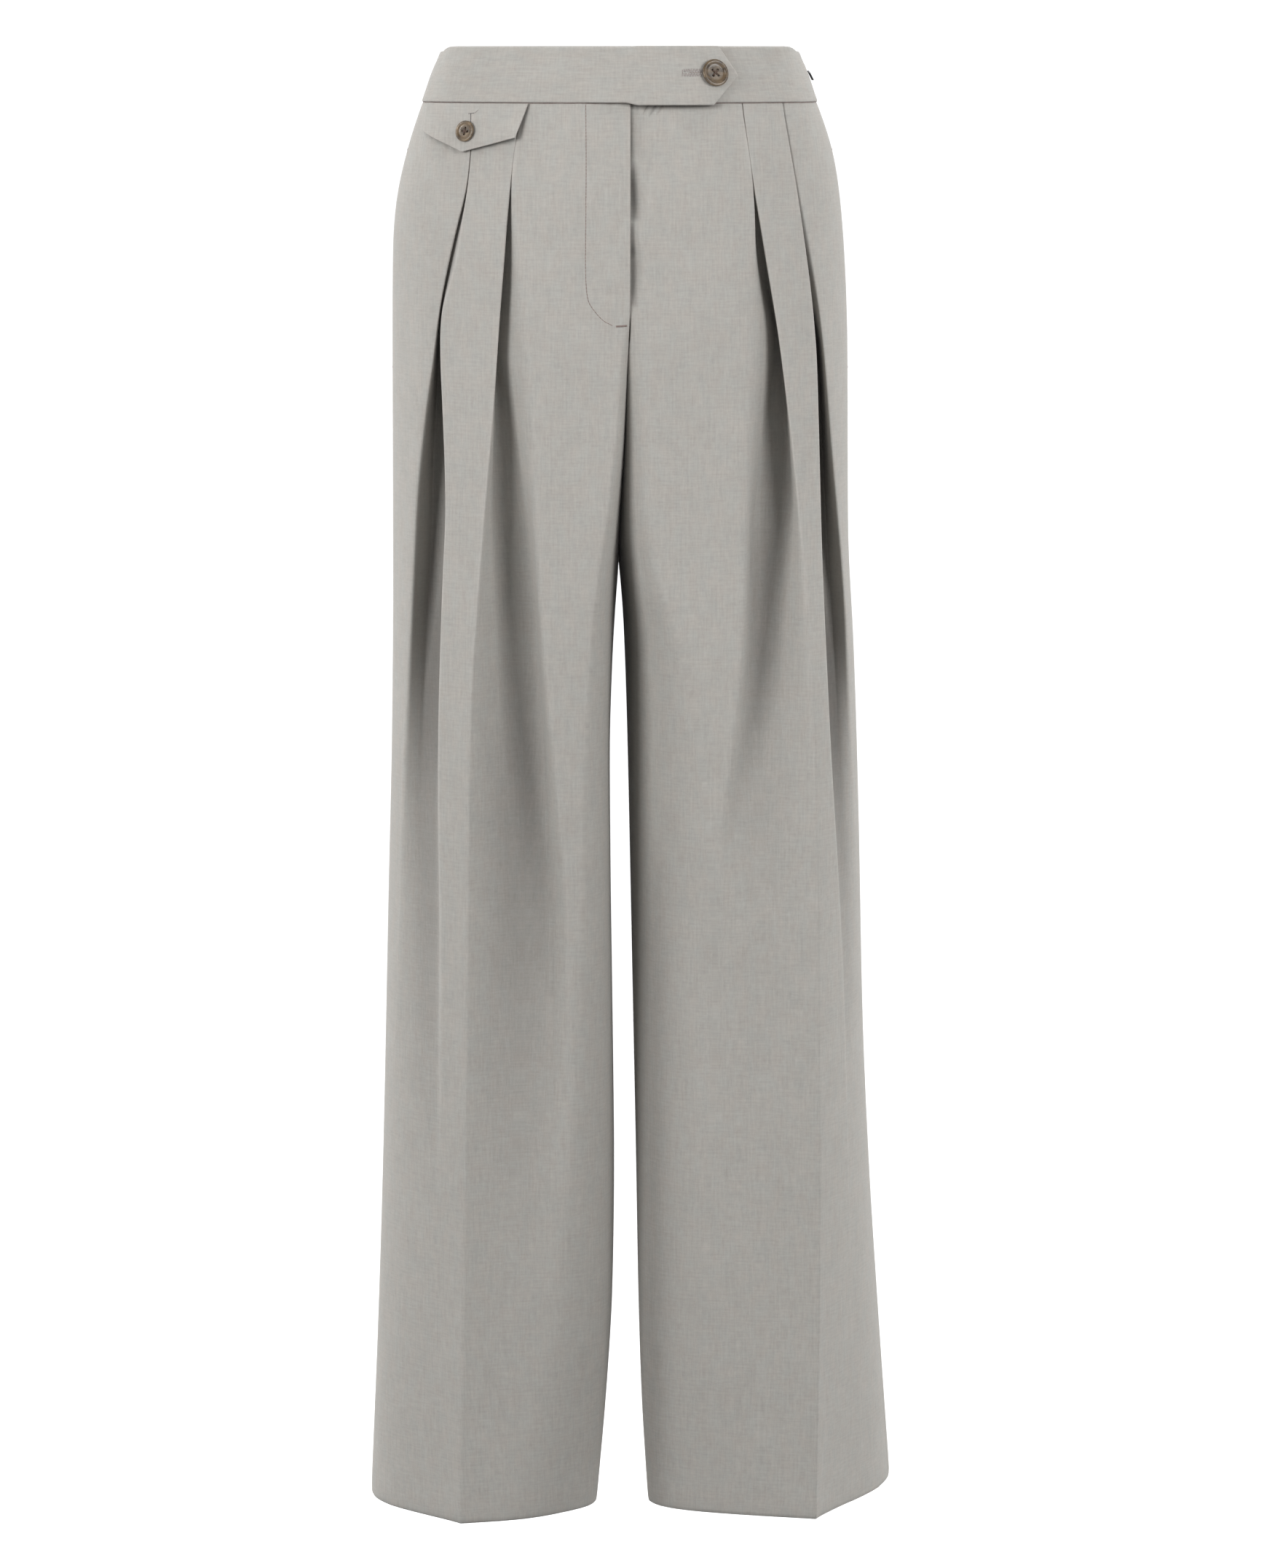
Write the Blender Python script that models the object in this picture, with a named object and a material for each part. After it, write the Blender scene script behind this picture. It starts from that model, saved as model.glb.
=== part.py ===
"""Pleated wide-leg dress trousers, filled out as if worn on a general figure and held at the waist.

Metres, +Z up. The front faces -Y and the wearer's right is at -X. The origin is the middle of the
waistband's ring at half its height, where the wearer's waist holds the garment up.

Every panel is a wall of cloth. It is laid out as level rows, from the waist seam down to the hem. A row is
a plan curve from the panel's inner edge (front middle, crotch seam or inseam) to its side seam, and on the
fronts that curve is folded into two pleats. Distances across a panel are written outward from the
middle of the body, so one set of functions serves both sides; "reach" is how far a curve stands forward
of the body's centre plane on a front, or behind it on a back.
"""

import math

import bmesh
import bpy
import numpy as np
from mathutils import Matrix, Vector

RIGHT, LEFT = "right", "left"

# ---------------------------------------------------------------- driving dimensions
BAND_TOP = 0.020
BAND_BOTTOM = -0.020
PANEL_TOP = -0.0204
HEM = -1.066
HEM_RAISED = {RIGHT: 0.0, LEFT: 0.0035}  # the wearer's left leg is cut this much shorter
FORK = -0.360  # height of the crotch point

CLOTH = 0.0012  # wall of a single layer
BAND_CLOTH = 0.0024  # the waistband is double
FLAP_CLOTH = 0.0016
SEAM_GAP = 0.00015  # each panel stops this far from a seam line

# Heights of the rows: close where the pleats open and where the legs part
ROWS = (PANEL_TOP, -0.050, -0.078, -0.088, -0.104, -0.125, -0.150, -0.168, -0.182, -0.205, -0.235,
        -0.268, -0.300, -0.328, -0.348, FORK, -0.374, -0.398, -0.440, -0.500, -0.580, -0.680, -0.800,
        -0.930, HEM)

# Points across a panel, between its named places
TO_SHOULDER, TO_PLEAT, ON_STRIP, TO_SIDE = 6, 4, 3, 5
BACK_WALL, BACK_INNER, BACK_OUTER = 6, 4, 6
ARC_STEPS = 24  # points that a plan arc is worked out with

OUTWARD = {RIGHT: -1.0, LEFT: 1.0}  # the sign of x on each side


# ---------------------------------------------------------------- tables, a row for each section
def table(columns, *rows):
    """A table with named columns, its first column the height z, read from the top down."""
    values = np.array(rows)[::-1]
    return {name: values[:, i] for i, name in enumerate(columns.split())}


def smooth(sizes, column, z):
    """A column's value at height z, on a curve that never overshoots the rows beside it."""
    heights, values = sizes["z"], sizes[column]
    z = min(max(z, heights[0]), heights[-1])
    step = np.diff(heights)
    slope = np.diff(values) / step
    tangent = np.zeros(len(values))
    tangent[0], tangent[-1] = slope[0], slope[-1]
    for i in range(1, len(values) - 1):
        if slope[i - 1] * slope[i] > 0:
            near, far = 2 * step[i] + step[i - 1], step[i] + 2 * step[i - 1]
            tangent[i] = (near + far) / (near / slope[i - 1] + far / slope[i])
    i = min(max(int(np.searchsorted(heights, z)) - 1, 0), len(step) - 1)
    t = (z - heights[i]) / step[i]
    return float((1 + 2 * t) * (1 - t) ** 2 * values[i] + t * (1 - t) ** 2 * step[i] * tangent[i]
                 + t * t * (3 - 2 * t) * values[i + 1] + t * t * (t - 1) * step[i] * tangent[i + 1])


# The line, seen from the front, where the right front lies over the left one and the legs meet
MEETING = table("z x", (0.020, 0.0080), (-0.168, 0.0076), (-0.205, 0.0058), (-0.260, 0.0037),
                (-0.312, 0.0006), (-0.350, -0.0010), (FORK, -0.0010))

# How far the left front runs on under the right one at the fly, and how deep it lies there
FLY_LAP = table("z lap depth", (0.020, 0.0060, 0.0022), (-0.150, 0.0060, 0.0022),
                (-0.168, -0.0015, 0.0022), (-0.205, -0.0015, 0.0), (FORK, -0.0015, 0.0))
FLY_RISE = 0.016  # the left front comes up to the surface over this width

# Innermost place of each leg below the fork
LEG_INSIDE = {
    RIGHT: table("z x", (FORK, 0.0010), (-0.394, 0.0037), (-0.440, 0.0062), (-0.500, 0.0078),
                 (-0.590, 0.0072), (-0.700, 0.0057), (-0.811, 0.0046), (-0.900, 0.0058),
                 (-0.978, 0.0102), (HEM, 0.0178)),
    LEFT: table("z x", (FORK, 0.0005), (-0.394, 0.0023), (-0.440, 0.0043), (-0.500, 0.0060),
                (-0.590, 0.0079), (-0.700, 0.0101), (-0.811, 0.0123), (-0.900, 0.0138),
                (-0.978, 0.0161), (HEM, 0.0213)),
}

# Silhouette: the outermost place of each side, and how far behind the centre plane it lies
SIDE = {
    RIGHT: table("z x y", (0.0200, 0.1285, 0.002), (0.0150, 0.1322, 0.002), (-0.0200, 0.1442, 0.002),
                 (-0.042, 0.1521, 0.003), (-0.063, 0.1581, 0.004), (-0.084, 0.1630, 0.005),
                 (-0.106, 0.1660, 0.006), (-0.127, 0.1672, 0.007), (-0.202, 0.1680, 0.008),
                 (-0.375, 0.1684, 0.004), (-0.484, 0.1697, 0.000), (-0.594, 0.1726, -0.003),
                 (-0.817, 0.1784, -0.008), (-0.929, 0.1824, -0.010), (HEM, 0.1886, -0.012)),
    LEFT: table("z x y", (0.0200, 0.1285, 0.002), (0.0150, 0.1322, 0.002), (-0.0200, 0.1440, 0.002),
                (-0.042, 0.1522, 0.003), (-0.063, 0.1579, 0.004), (-0.084, 0.1612, 0.005),
                (-0.106, 0.1636, 0.006), (-0.127, 0.1652, 0.007), (-0.159, 0.1670, 0.008),
                (-0.202, 0.1682, 0.008), (-0.332, 0.1690, 0.006), (-0.419, 0.1733, 0.005),
                (-0.539, 0.1778, 0.008), (-0.705, 0.1825, 0.014), (-0.817, 0.1882, 0.020),
                (-0.929, 0.1960, 0.026), (HEM, 0.2065, 0.032)),
}

# Front of each leg. seam: reach of the front middle or crotch seam, or of the inseam below the fork.
# shoulder: how far outside that seam the panel has come fully forward, its reach, and its direction there.
# crease: the pressed crease, which is the inner pleat's edge, its reach, and the directions either side.
FRONT = {
    RIGHT: table(
        "z seam shoulder shoulder_reach shoulder_turn crease crease_reach crease_in crease_out",
        (0.020, 0.0880, 0.014, 0.0880, 2, 0.0690, 0.0745, 24, 24),
        (-0.020, 0.0960, 0.014, 0.0960, 2, 0.0713, 0.0830, 24, 24),
        (-0.080, 0.1040, 0.014, 0.1040, 2, 0.0791, 0.0905, 24, 24),
        (-0.128, 0.1085, 0.014, 0.1085, 2, 0.0832, 0.0960, 23, 23),
        (-0.170, 0.1110, 0.010, 0.1110, 2, 0.0864, 0.0990, 22, 24),
        (-0.205, 0.1040, 0.006, 0.1125, 2, 0.0887, 0.1015, 20, 25),
        (-0.259, 0.0890, 0.007, 0.1140, 1, 0.0925, 0.1055, 17, 27),
        (-0.312, 0.0660, 0.009, 0.1150, 0, 0.0975, 0.1090, 12, 30),
        (-0.345, 0.0340, 0.012, 0.1150, -1, 0.1003, 0.1110, 8, 32),
        (FORK, -0.0020, 0.014, 0.1148, -2, 0.1014, 0.1118, 6, 33),
        (-0.418, -0.0020, 0.016, 0.1125, -7, 0.1058, 0.1145, 1, 35),
        (-0.498, 0.0040, 0.018, 0.1090, -12, 0.1093, 0.1160, -4, 37),
        (-0.650, 0.0160, 0.022, 0.1015, -20, 0.1115, 0.1150, -8, 40),
        (-0.850, 0.0280, 0.027, 0.0910, -29, 0.1145, 0.1110, -11, 43),
        (HEM, 0.0380, 0.030, 0.0800, -38, 0.1181, 0.1070, -13, 45),
    ),
    LEFT: table(
        "z seam shoulder shoulder_reach shoulder_turn crease crease_reach crease_in crease_out",
        (0.020, 0.0880, 0.014, 0.0880, 2, 0.0750, 0.0720, 25, 25),
        (-0.020, 0.0960, 0.014, 0.0960, 2, 0.0888, 0.0765, 29, 29),
        (-0.080, 0.1040, 0.014, 0.1040, 2, 0.0973, 0.0850, 29, 29),
        (-0.128, 0.1085, 0.014, 0.1085, 2, 0.1055, 0.0885, 28, 29),
        (-0.170, 0.1110, 0.014, 0.1110, 2, 0.1125, 0.0905, 27, 30),
        (-0.205, 0.1040, 0.016, 0.1120, 2, 0.1177, 0.0920, 25, 31),
        (-0.259, 0.0890, 0.020, 0.1130, 2, 0.1237, 0.0950, 22, 33),
        (-0.312, 0.0660, 0.024, 0.1135, 1, 0.1287, 0.0985, 18, 36),
        (-0.345, 0.0340, 0.027, 0.1135, 1, 0.1316, 0.1005, 14, 38),
        (FORK, -0.0020, 0.028, 0.1135, 0, 0.1329, 0.1015, 12, 39),
        (-0.418, 0.0000, 0.032, 0.1135, -1, 0.1379, 0.1060, 6, 42),
        (-0.525, 0.0120, 0.036, 0.1115, -4, 0.1428, 0.1090, -1, 47),
        (-0.650, 0.0240, 0.038, 0.1075, -7, 0.1455, 0.1095, -6, 52),
        (-0.850, 0.0400, 0.038, 0.1005, -11, 0.1470, 0.1085, -10, 58),
        (HEM, 0.0500, 0.038, 0.0880, -17, 0.1453, 0.1070, -12, 64),
    ),
}

# Back of each leg, in the same columns; its crease is only pressed in below the seat
BACK = {
    RIGHT: table(
        "z seam shoulder shoulder_reach shoulder_turn crease crease_reach crease_in crease_out",
        (0.020, 0.0890, 0.020, 0.0890, 2, 0.0700, 0.0750, 24, 24),
        (-0.020, 0.0950, 0.020, 0.0950, 2, 0.0740, 0.0825, 24, 24),
        (-0.080, 0.1180, 0.020, 0.1180, 1, 0.0800, 0.1060, 24, 24),
        (-0.140, 0.1330, 0.024, 0.1345, 1, 0.0860, 0.1220, 24, 24),
        (-0.190, 0.1330, 0.034, 0.1395, 1, 0.0900, 0.1285, 24, 24),
        (-0.240, 0.1180, 0.042, 0.1375, 0, 0.0930, 0.1280, 20, 26),
        (-0.290, 0.0900, 0.046, 0.1305, -1, 0.0950, 0.1245, 14, 30),
        (-0.335, 0.0500, 0.046, 0.1235, -3, 0.0960, 0.1210, 8, 33),
        (FORK, 0.0020, 0.046, 0.1195, -5, 0.0965, 0.1190, 4, 35),
        (-0.418, 0.0020, 0.046, 0.1125, -8, 0.0970, 0.1155, -1, 34),
        (-0.498, -0.0040, 0.046, 0.1055, -11, 0.0980, 0.1115, -3, 34),
        (-0.650, -0.0160, 0.046, 0.0955, -16, 0.0990, 0.1065, -6, 34),
        (-0.850, -0.0280, 0.048, 0.0875, -20, 0.1010, 0.1010, -9, 35),
        (HEM, -0.0380, 0.048, 0.0790, -24, 0.1030, 0.0945, -11, 36),
    ),
    LEFT: table(
        "z seam shoulder shoulder_reach shoulder_turn crease crease_reach crease_in crease_out",
        (0.020, 0.0890, 0.020, 0.0890, 2, 0.0700, 0.0750, 24, 24),
        (-0.020, 0.0950, 0.020, 0.0950, 2, 0.0740, 0.0825, 24, 24),
        (-0.080, 0.1180, 0.020, 0.1180, 1, 0.0800, 0.1060, 24, 24),
        (-0.140, 0.1330, 0.024, 0.1345, 1, 0.0860, 0.1220, 24, 24),
        (-0.190, 0.1330, 0.034, 0.1395, 1, 0.0900, 0.1285, 24, 24),
        (-0.240, 0.1180, 0.042, 0.1375, 0, 0.0930, 0.1280, 20, 26),
        (-0.290, 0.0900, 0.046, 0.1305, -1, 0.0950, 0.1245, 14, 30),
        (-0.335, 0.0500, 0.046, 0.1235, -3, 0.0960, 0.1210, 8, 33),
        (FORK, 0.0020, 0.046, 0.1195, -5, 0.0965, 0.1190, 4, 35),
        (-0.418, 0.0000, 0.046, 0.1130, -8, 0.0980, 0.1160, 0, 34),
        (-0.525, -0.0120, 0.048, 0.1045, -13, 0.1010, 0.1115, -4, 33),
        (-0.650, -0.0240, 0.050, 0.0965, -18, 0.1040, 0.1080, -8, 32),
        (-0.850, -0.0400, 0.056, 0.0900, -22, 0.1090, 0.1035, -12, 31),
        (HEM, -0.0500, 0.062, 0.0830, -26, 0.1150, 0.0995, -15, 30),
    ),
}

# Where the seams lie short of the innermost and outermost places, as a share of the arc beside them
INSEAM_SHARE = table("z share", (FORK, 0.0), (-0.500, 0.08), (HEM, 0.10))
SIDE_SHARE = {
    RIGHT: table("z share", (0.020, 0.0), (HEM, 0.0)),
    LEFT: table("z share", (-0.600, 0.0), (-0.850, 0.14), (HEM, 0.16)),
}

# A pleat, at each height: edge, the x of its pressed edge; soft, the x where the neighbouring panel
# starts to roll into it; bottom, how far past the edge its inmost fold lies (negative: the pleat stands
# open, and its lowest place lies that far before the edge); depth; and how widely the edge is rounded.
INNER_PLEAT = {
    RIGHT: table(
        "z edge soft bottom depth round",
        (-0.020, 0.0713, 0.0678, 0.0120, 0.0035, 0.0008), (-0.080, 0.0791, 0.0753, 0.0120, 0.0035, 0.0008),
        (-0.104, 0.0815, 0.0735, 0.0110, 0.0060, 0.0008), (-0.155, 0.0853, 0.0735, 0.0080, 0.0105, 0.0009),
        (-0.205, 0.0887, 0.0713, 0.0040, 0.0140, 0.0010), (-0.259, 0.0925, 0.0678, 0.0000, 0.0150, 0.0012),
        (-0.312, 0.0975, 0.0600, -0.0080, 0.0140, 0.0015), (-0.365, 0.1019, 0.0540, -0.0190, 0.0115, 0.0020),
        (-0.418, 0.1058, 0.0500, -0.0260, 0.0090, 0.0020), (-0.500, 0.1093, 0.0450, -0.0350, 0.0070, 0.0020),
        (-0.600, 0.1110, 0.0420, -0.0410, 0.0045, 0.0020), (-0.720, 0.1123, 0.0450, -0.0400, 0.0015, 0.0020),
        (-0.820, 0.1140, 0.0520, -0.0360, 0.0000, 0.0020), (HEM, 0.1181, 0.0720, -0.0260, 0.0000, 0.0020),
    ),
    LEFT: table(
        "z edge soft bottom depth round",
        (-0.020, 0.0888, 0.0853, 0.0120, 0.0035, 0.0008), (-0.080, 0.0973, 0.0935, 0.0120, 0.0035, 0.0008),
        (-0.104, 0.1014, 0.0935, 0.0110, 0.0065, 0.0008), (-0.155, 0.1100, 0.0950, 0.0080, 0.0130, 0.0009),
        (-0.205, 0.1177, 0.0970, 0.0030, 0.0180, 0.0010), (-0.259, 0.1237, 0.0960, -0.0030, 0.0190, 0.0015),
        (-0.312, 0.1287, 0.0930, -0.0140, 0.0160, 0.0030), (-0.365, 0.1334, 0.0870, -0.0260, 0.0120, 0.0050),
        (-0.418, 0.1379, 0.0800, -0.0340, 0.0080, 0.0060), (-0.480, 0.1412, 0.0740, -0.0400, 0.0045, 0.0050),
        (-0.560, 0.1434, 0.0740, -0.0400, 0.0010, 0.0030), (-0.640, 0.1453, 0.0760, -0.0400, 0.0000, 0.0020),
        (HEM, 0.1453, 0.0760, -0.0400, 0.0000, 0.0020),
    ),
}
OUTER_PLEAT = {
    RIGHT: table(
        "z edge soft bottom depth round",
        (-0.020, 0.1043, 0.1080, -0.0165, 0.0035, 0.0008), (-0.080, 0.1095, 0.1132, -0.0165, 0.0035, 0.0008),
        (-0.104, 0.1136, 0.1180, -0.0150, 0.0050, 0.0020), (-0.130, 0.1180, 0.1242, -0.0120, 0.0080, 0.0030),
        (-0.156, 0.1248, 0.1294, -0.0070, 0.0110, 0.0030), (-0.180, 0.1300, 0.1345, -0.0020, 0.0140, 0.0015),
        (-0.205, 0.1310, 0.1370, -0.0030, 0.0170, 0.0010), (-0.250, 0.1295, 0.1430, -0.0050, 0.0200, 0.0010),
        (-0.310, 0.1278, 0.1500, -0.0060, 0.0190, 0.0012), (-0.370, 0.1330, 0.1560, -0.0080, 0.0150, 0.0030),
        (-0.420, 0.1365, 0.1600, -0.0090, 0.0110, 0.0050), (-0.500, 0.1350, 0.1640, -0.0130, 0.0070, 0.0060),
        (-0.600, 0.1320, 0.1660, -0.0160, 0.0040, 0.0060), (-0.720, 0.1310, 0.1680, -0.0160, 0.0015, 0.0060),
        (-0.820, 0.1330, 0.1700, -0.0160, 0.0000, 0.0060), (HEM, 0.1370, 0.1720, -0.0160, 0.0000, 0.0060),
    ),
    LEFT: table(
        "z edge soft bottom depth round",
        (-0.020, 0.1175, 0.1212, 0.0120, 0.0035, 0.0008), (-0.080, 0.1280, 0.1318, 0.0120, 0.0035, 0.0008),
        (-0.104, 0.1318, 0.1362, 0.0090, 0.0065, 0.0008), (-0.130, 0.1355, 0.1412, 0.0060, 0.0100, 0.0008),
        (-0.162, 0.1398, 0.1452, 0.0040, 0.0140, 0.0009), (-0.205, 0.1438, 0.1482, 0.0020, 0.0180, 0.0010),
        (-0.250, 0.1458, 0.1525, 0.0000, 0.0200, 0.0010), (-0.310, 0.1468, 0.1590, -0.0010, 0.0190, 0.0012),
        (-0.370, 0.1488, 0.1630, -0.0030, 0.0155, 0.0020), (-0.420, 0.1525, 0.1665, -0.0050, 0.0110, 0.0030),
        (-0.500, 0.1562, 0.1710, -0.0070, 0.0065, 0.0050), (-0.580, 0.1600, 0.1740, -0.0080, 0.0025, 0.0060),
        (-0.660, 0.1640, 0.1770, -0.0080, 0.0000, 0.0060), (HEM, 0.1760, 0.1960, -0.0080, 0.0000, 0.0060),
    ),
}
FOLD = 0.00175  # distance between the layers of a stitched pleat, middle to middle
SOFT_ROUND = 0.011  # the widest rounding of a pleat's soft side
OPEN_SHARE = 0.35  # the flat floor of an open pleat, as a share of its width
STEEP_SHARE = 0.25  # how much wider the fold is where a pleat's layers stand square to the panel
SOFT_SHARE = 0.80  # how far down the soft side's curve is pulled before it reaches the bottom
PLEAT_CORNERS = (3, 3, 2, 2, 2, 2)  # points on the rounded corners of a pleat, from its soft side


# ---------------------------------------------------------------- plan curves
def heading(degrees):
    """A direction of travel away from the middle, turned this much back towards the side."""
    return np.array([math.cos(math.radians(degrees)), -math.sin(math.radians(degrees))])


def arc(start, end, leave, arrive):
    """A smooth plan arc between two places that leaves and arrives in the given directions.

    Its handles reach a third of the way on a straight run and as far as an ellipse's on a quarter turn.
    """
    turn = math.acos(min(1.0, max(0.0, float(leave @ arrive)))) / (math.pi / 2)
    pull = 0.34 + 0.21 * turn
    first = start + pull * abs(float((end - start) @ leave)) * leave
    second = end - pull * abs(float((end - start) @ arrive)) * arrive
    t = np.linspace(0.0, 1.0, ARC_STEPS)[:, None]
    return ((1 - t) ** 3 * start + 3 * t * (1 - t) ** 2 * first + 3 * t * t * (1 - t) * second
            + t ** 3 * end)


def inside(side, z, sizes):
    """How far from the middle a panel starts, at its front, back or crotch seam or at its inseam."""
    if z < FORK:
        return smooth(LEG_INSIDE[side], "x", z)
    if sizes is BACK[side]:
        groove = smooth(sizes, "shoulder_reach", z) - smooth(sizes, "seam", z)
        return min(1.0, groove / 0.003) * smooth(LEG_INSIDE[side], "x", FORK)
    meeting = smooth(MEETING, "x", z)
    return -meeting if side == RIGHT else meeting - smooth(FLY_LAP, "lap", z)


def half_section(side, z, sizes):
    """Three arcs from the inner seam to the silhouette: to the shoulder, to the crease, to the side."""
    seam = np.array([inside(side, z, sizes), smooth(sizes, "seam", z)])
    shoulder = np.array([seam[0] + smooth(sizes, "shoulder", z), smooth(sizes, "shoulder_reach", z)])
    crease = np.array([smooth(sizes, "crease", z), smooth(sizes, "crease_reach", z)])
    facing = 1.0 if sizes is BACK[side] else -1.0
    silhouette = np.array([smooth(SIDE[side], "x", z), facing * smooth(SIDE[side], "y", z)])
    turned_in = min(1.0, max(0.0, (shoulder[1] - seam[1]) / 0.006))
    shoulder_turn = heading(smooth(sizes, "shoulder_turn", z))
    return (
        arc(seam, shoulder, heading(-90 * turned_in), shoulder_turn),
        arc(shoulder, crease, shoulder_turn, heading(smooth(sizes, "crease_in", z))),
        arc(crease, silhouette, heading(smooth(sizes, "crease_out", z)), heading(90)),
    )


LEAST_RUN = 0.0015


class Curve:
    """A plan curve that is read by the distance along it, with an offset towards its inner side."""

    def __init__(self, points):
        self.points = np.array(points)
        steps = np.linalg.norm(np.diff(self.points, axis=0), axis=1)
        keep = np.concatenate([[True], steps > 1e-7])
        self.points = self.points[keep]
        steps = np.linalg.norm(np.diff(self.points, axis=0), axis=1)
        self.along = np.concatenate([[0.0], np.cumsum(steps)])
        self.length = self.along[-1]

    def place(self, s, inward=0.0):
        """The point at distance s, moved inward square to the run of the curve around it.

        The deeper the point lies, the longer that run, so that a bend doesn't pinch what lies under it.
        """
        point = self._at(s)
        reach = LEAST_RUN + abs(inward)
        ahead, behind = self._at(s + reach), self._at(s - reach)
        travel = (ahead - behind) / np.linalg.norm(ahead - behind)
        return point + inward * np.array([travel[1], -travel[0]])

    def _at(self, s):
        if s <= 0:
            first, second = self.points[0], self.points[1]
            return first + s * (second - first) / np.linalg.norm(second - first)
        if s >= self.length:
            last, before = self.points[-1], self.points[-2]
            return last + (s - self.length) * (last - before) / np.linalg.norm(last - before)
        return np.array([np.interp(s, self.along, self.points[:, i]) for i in (0, 1)])

    def where_x(self, x, after=0.0):
        """The distance at which the curve, on its way out to the side, comes to this x."""
        rising = (self.along >= after) & (np.arange(len(self.along)) <= np.argmax(self.points[:, 0]))
        return float(np.interp(x, self.points[rising, 0], self.along[rising]))


def front_curve(side, z):
    """The front panel's level curve without its pleats, and the distance to its shoulder."""
    to_shoulder, to_crease, to_side = half_section(side, z, FRONT[side])
    whole = Curve(np.vstack([to_shoulder, to_crease, to_side]))
    first = Curve(to_shoulder).length
    start = smooth(INSEAM_SHARE, "share", z) * first if z < FORK else 0.0
    end = whole.length - smooth(SIDE_SHARE[side], "share", z) * Curve(to_side).length
    return whole, start + SEAM_GAP, first, end - SEAM_GAP


def back_curve(side, z):
    """The back panel's level curve, with what it takes in front of the silhouettes at its two seams."""
    front = half_section(side, z, FRONT[side])
    around = [arcs * np.array([1.0, -1.0]) for arcs in front]
    to_shoulder, to_crease, to_side = half_section(side, z, BACK[side])
    inner = Curve(around[0])
    outer = Curve(around[2])
    points = [to_shoulder, to_crease, to_side]
    inseam = smooth(INSEAM_SHARE, "share", z) * inner.length if z < FORK else 0.0
    beside = smooth(SIDE_SHARE[side], "share", z) * outer.length
    shares = np.linspace(1.0, 0.0, 8)
    if inseam > 0:
        points.insert(0, np.array([inner.place(share * inseam) for share in shares]))
    if beside > 0:
        points.append(np.array([outer.place(outer.length - (1 - share) * beside) for share in shares]))
    whole = Curve(np.vstack(points))
    to_first = inseam + Curve(to_shoulder).length
    return whole, SEAM_GAP, to_first, to_first + Curve(to_crease).length, whole.length - SEAM_GAP


# ---------------------------------------------------------------- pleats
def rounded(corners, cuts, counts):
    """The points of a path whose corners are cut back and rounded; its first and last points stay out."""
    path = []
    for i, (cut, count) in enumerate(zip(cuts, counts), start=1):
        corner, before, after = corners[i], corners[i - 1], corners[i + 1]
        to_before, to_after = before - corner, after - corner
        back = min(cut, 0.45 * np.linalg.norm(to_before)) / max(np.linalg.norm(to_before), 1e-9)
        on = min(cut, 0.45 * np.linalg.norm(to_after)) / max(np.linalg.norm(to_after), 1e-9)
        for t in np.linspace(0.0, 1.0, count):
            path.append((1 - t) ** 2 * (corner + back * to_before) + 2 * t * (1 - t) * corner
                        + t * t * (corner + on * to_after))
    return path


def pleat_path(soft, edge, bottom, depth, edge_round):
    """A pleat as points of (distance across, depth), from its soft side at 0 to its edge.

    The bottom may lie past the edge, tucked under it, between the two sides, or before the soft side.
    """
    up = np.array([0.0, -1.0])
    fold = min(depth / 2, FOLD)
    middle, half = (soft + edge) / 2, max(abs(edge - soft) / 2, 0.001)
    lean = min(1.0, max(-1.0, (bottom - middle) / half))
    under_edge = 0.5 + 0.5 * lean
    low = np.array([bottom, depth])
    mouth = np.array([min(max(bottom, soft), edge) - bottom, -max(depth, 1e-6)])
    mouth /= np.linalg.norm(mouth)
    floor = fold * (1 - STEEP_SHARE * mouth[1]) + (1 - abs(lean)) * OPEN_SHARE * abs(edge - soft)
    turn = floor * np.array([-mouth[1], mouth[0]])
    low_soft, low_edge = low - (1 - under_edge) * turn, low + under_edge * turn
    top_soft, top_edge = np.array([soft, 0.0]), np.array([edge, 0.0])

    def below(top, other, low_side, weight, towards):
        """The corner under one side: straight below a crisp edge, or far down a soft one."""
        reach = min(max(towards * (low_side[0] - top[0]), 0.0), towards * (other[0] - top[0]))
        soft_corner = top + np.array([towards * SOFT_SHARE * reach, SOFT_SHARE * depth])
        if towards * (low_side[0] - other[0]) > 0:
            soft_corner[1] = depth * (0.75 + 0.25 * min(1.0, abs(low_side[0] - other[0]) / 0.008))
        away = low_side - top
        crisp = away / max(np.linalg.norm(away), 1e-9)
        if towards * away[0] < 0:
            crisp = -up
        return (1 - weight) * (top + fold * crisp) + weight * soft_corner

    under_soft = below(top_soft, top_edge, low_soft, under_edge, 1.0)
    under_crisp = below(top_edge, top_soft, low_edge, 1 - under_edge, -1.0)
    soft_round = 0.0008 + under_edge * min(0.5 * abs(edge - soft), SOFT_ROUND)
    crisp_round = edge_round + (1 - under_edge) * 0.25 * abs(edge - soft)
    low_round = 0.0009 + (1 - abs(lean)) * 0.3 * abs(edge - soft)
    before = top_soft - np.array([soft_round + 0.0005, 0.0])
    after = top_edge + np.array([crisp_round + 0.0005, 0.0])
    corners = [before, top_soft, under_soft, low_soft, low_edge, under_crisp, top_edge, after]
    cuts = [soft_round, max(soft_round, low_round), low_round, low_round, edge_round, crisp_round]
    return rounded(corners, cuts, PLEAT_CORNERS)


def pleat_on(curve, first, sizes, z, outward):
    """A pleat's points on a panel's curve. An outer pleat is the inner one turned round."""
    edge = curve.where_x(smooth(sizes, "edge", z), first)
    soft = curve.where_x(smooth(sizes, "soft", z), first)
    bottom = smooth(sizes, "bottom", z)
    turn = 1.0 if outward else -1.0
    path = pleat_path(turn * soft, turn * edge, turn * edge + bottom, smooth(sizes, "depth", z),
                      smooth(sizes, "round", z))
    path = [(turn * point[0], point[1]) for point in path]
    return path if outward else path[::-1]


def spread(start, end, count):
    """Level distances from start up to, but not including, end."""
    return [(s, 0.0) for s in np.linspace(start, end, count, endpoint=False)]


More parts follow.
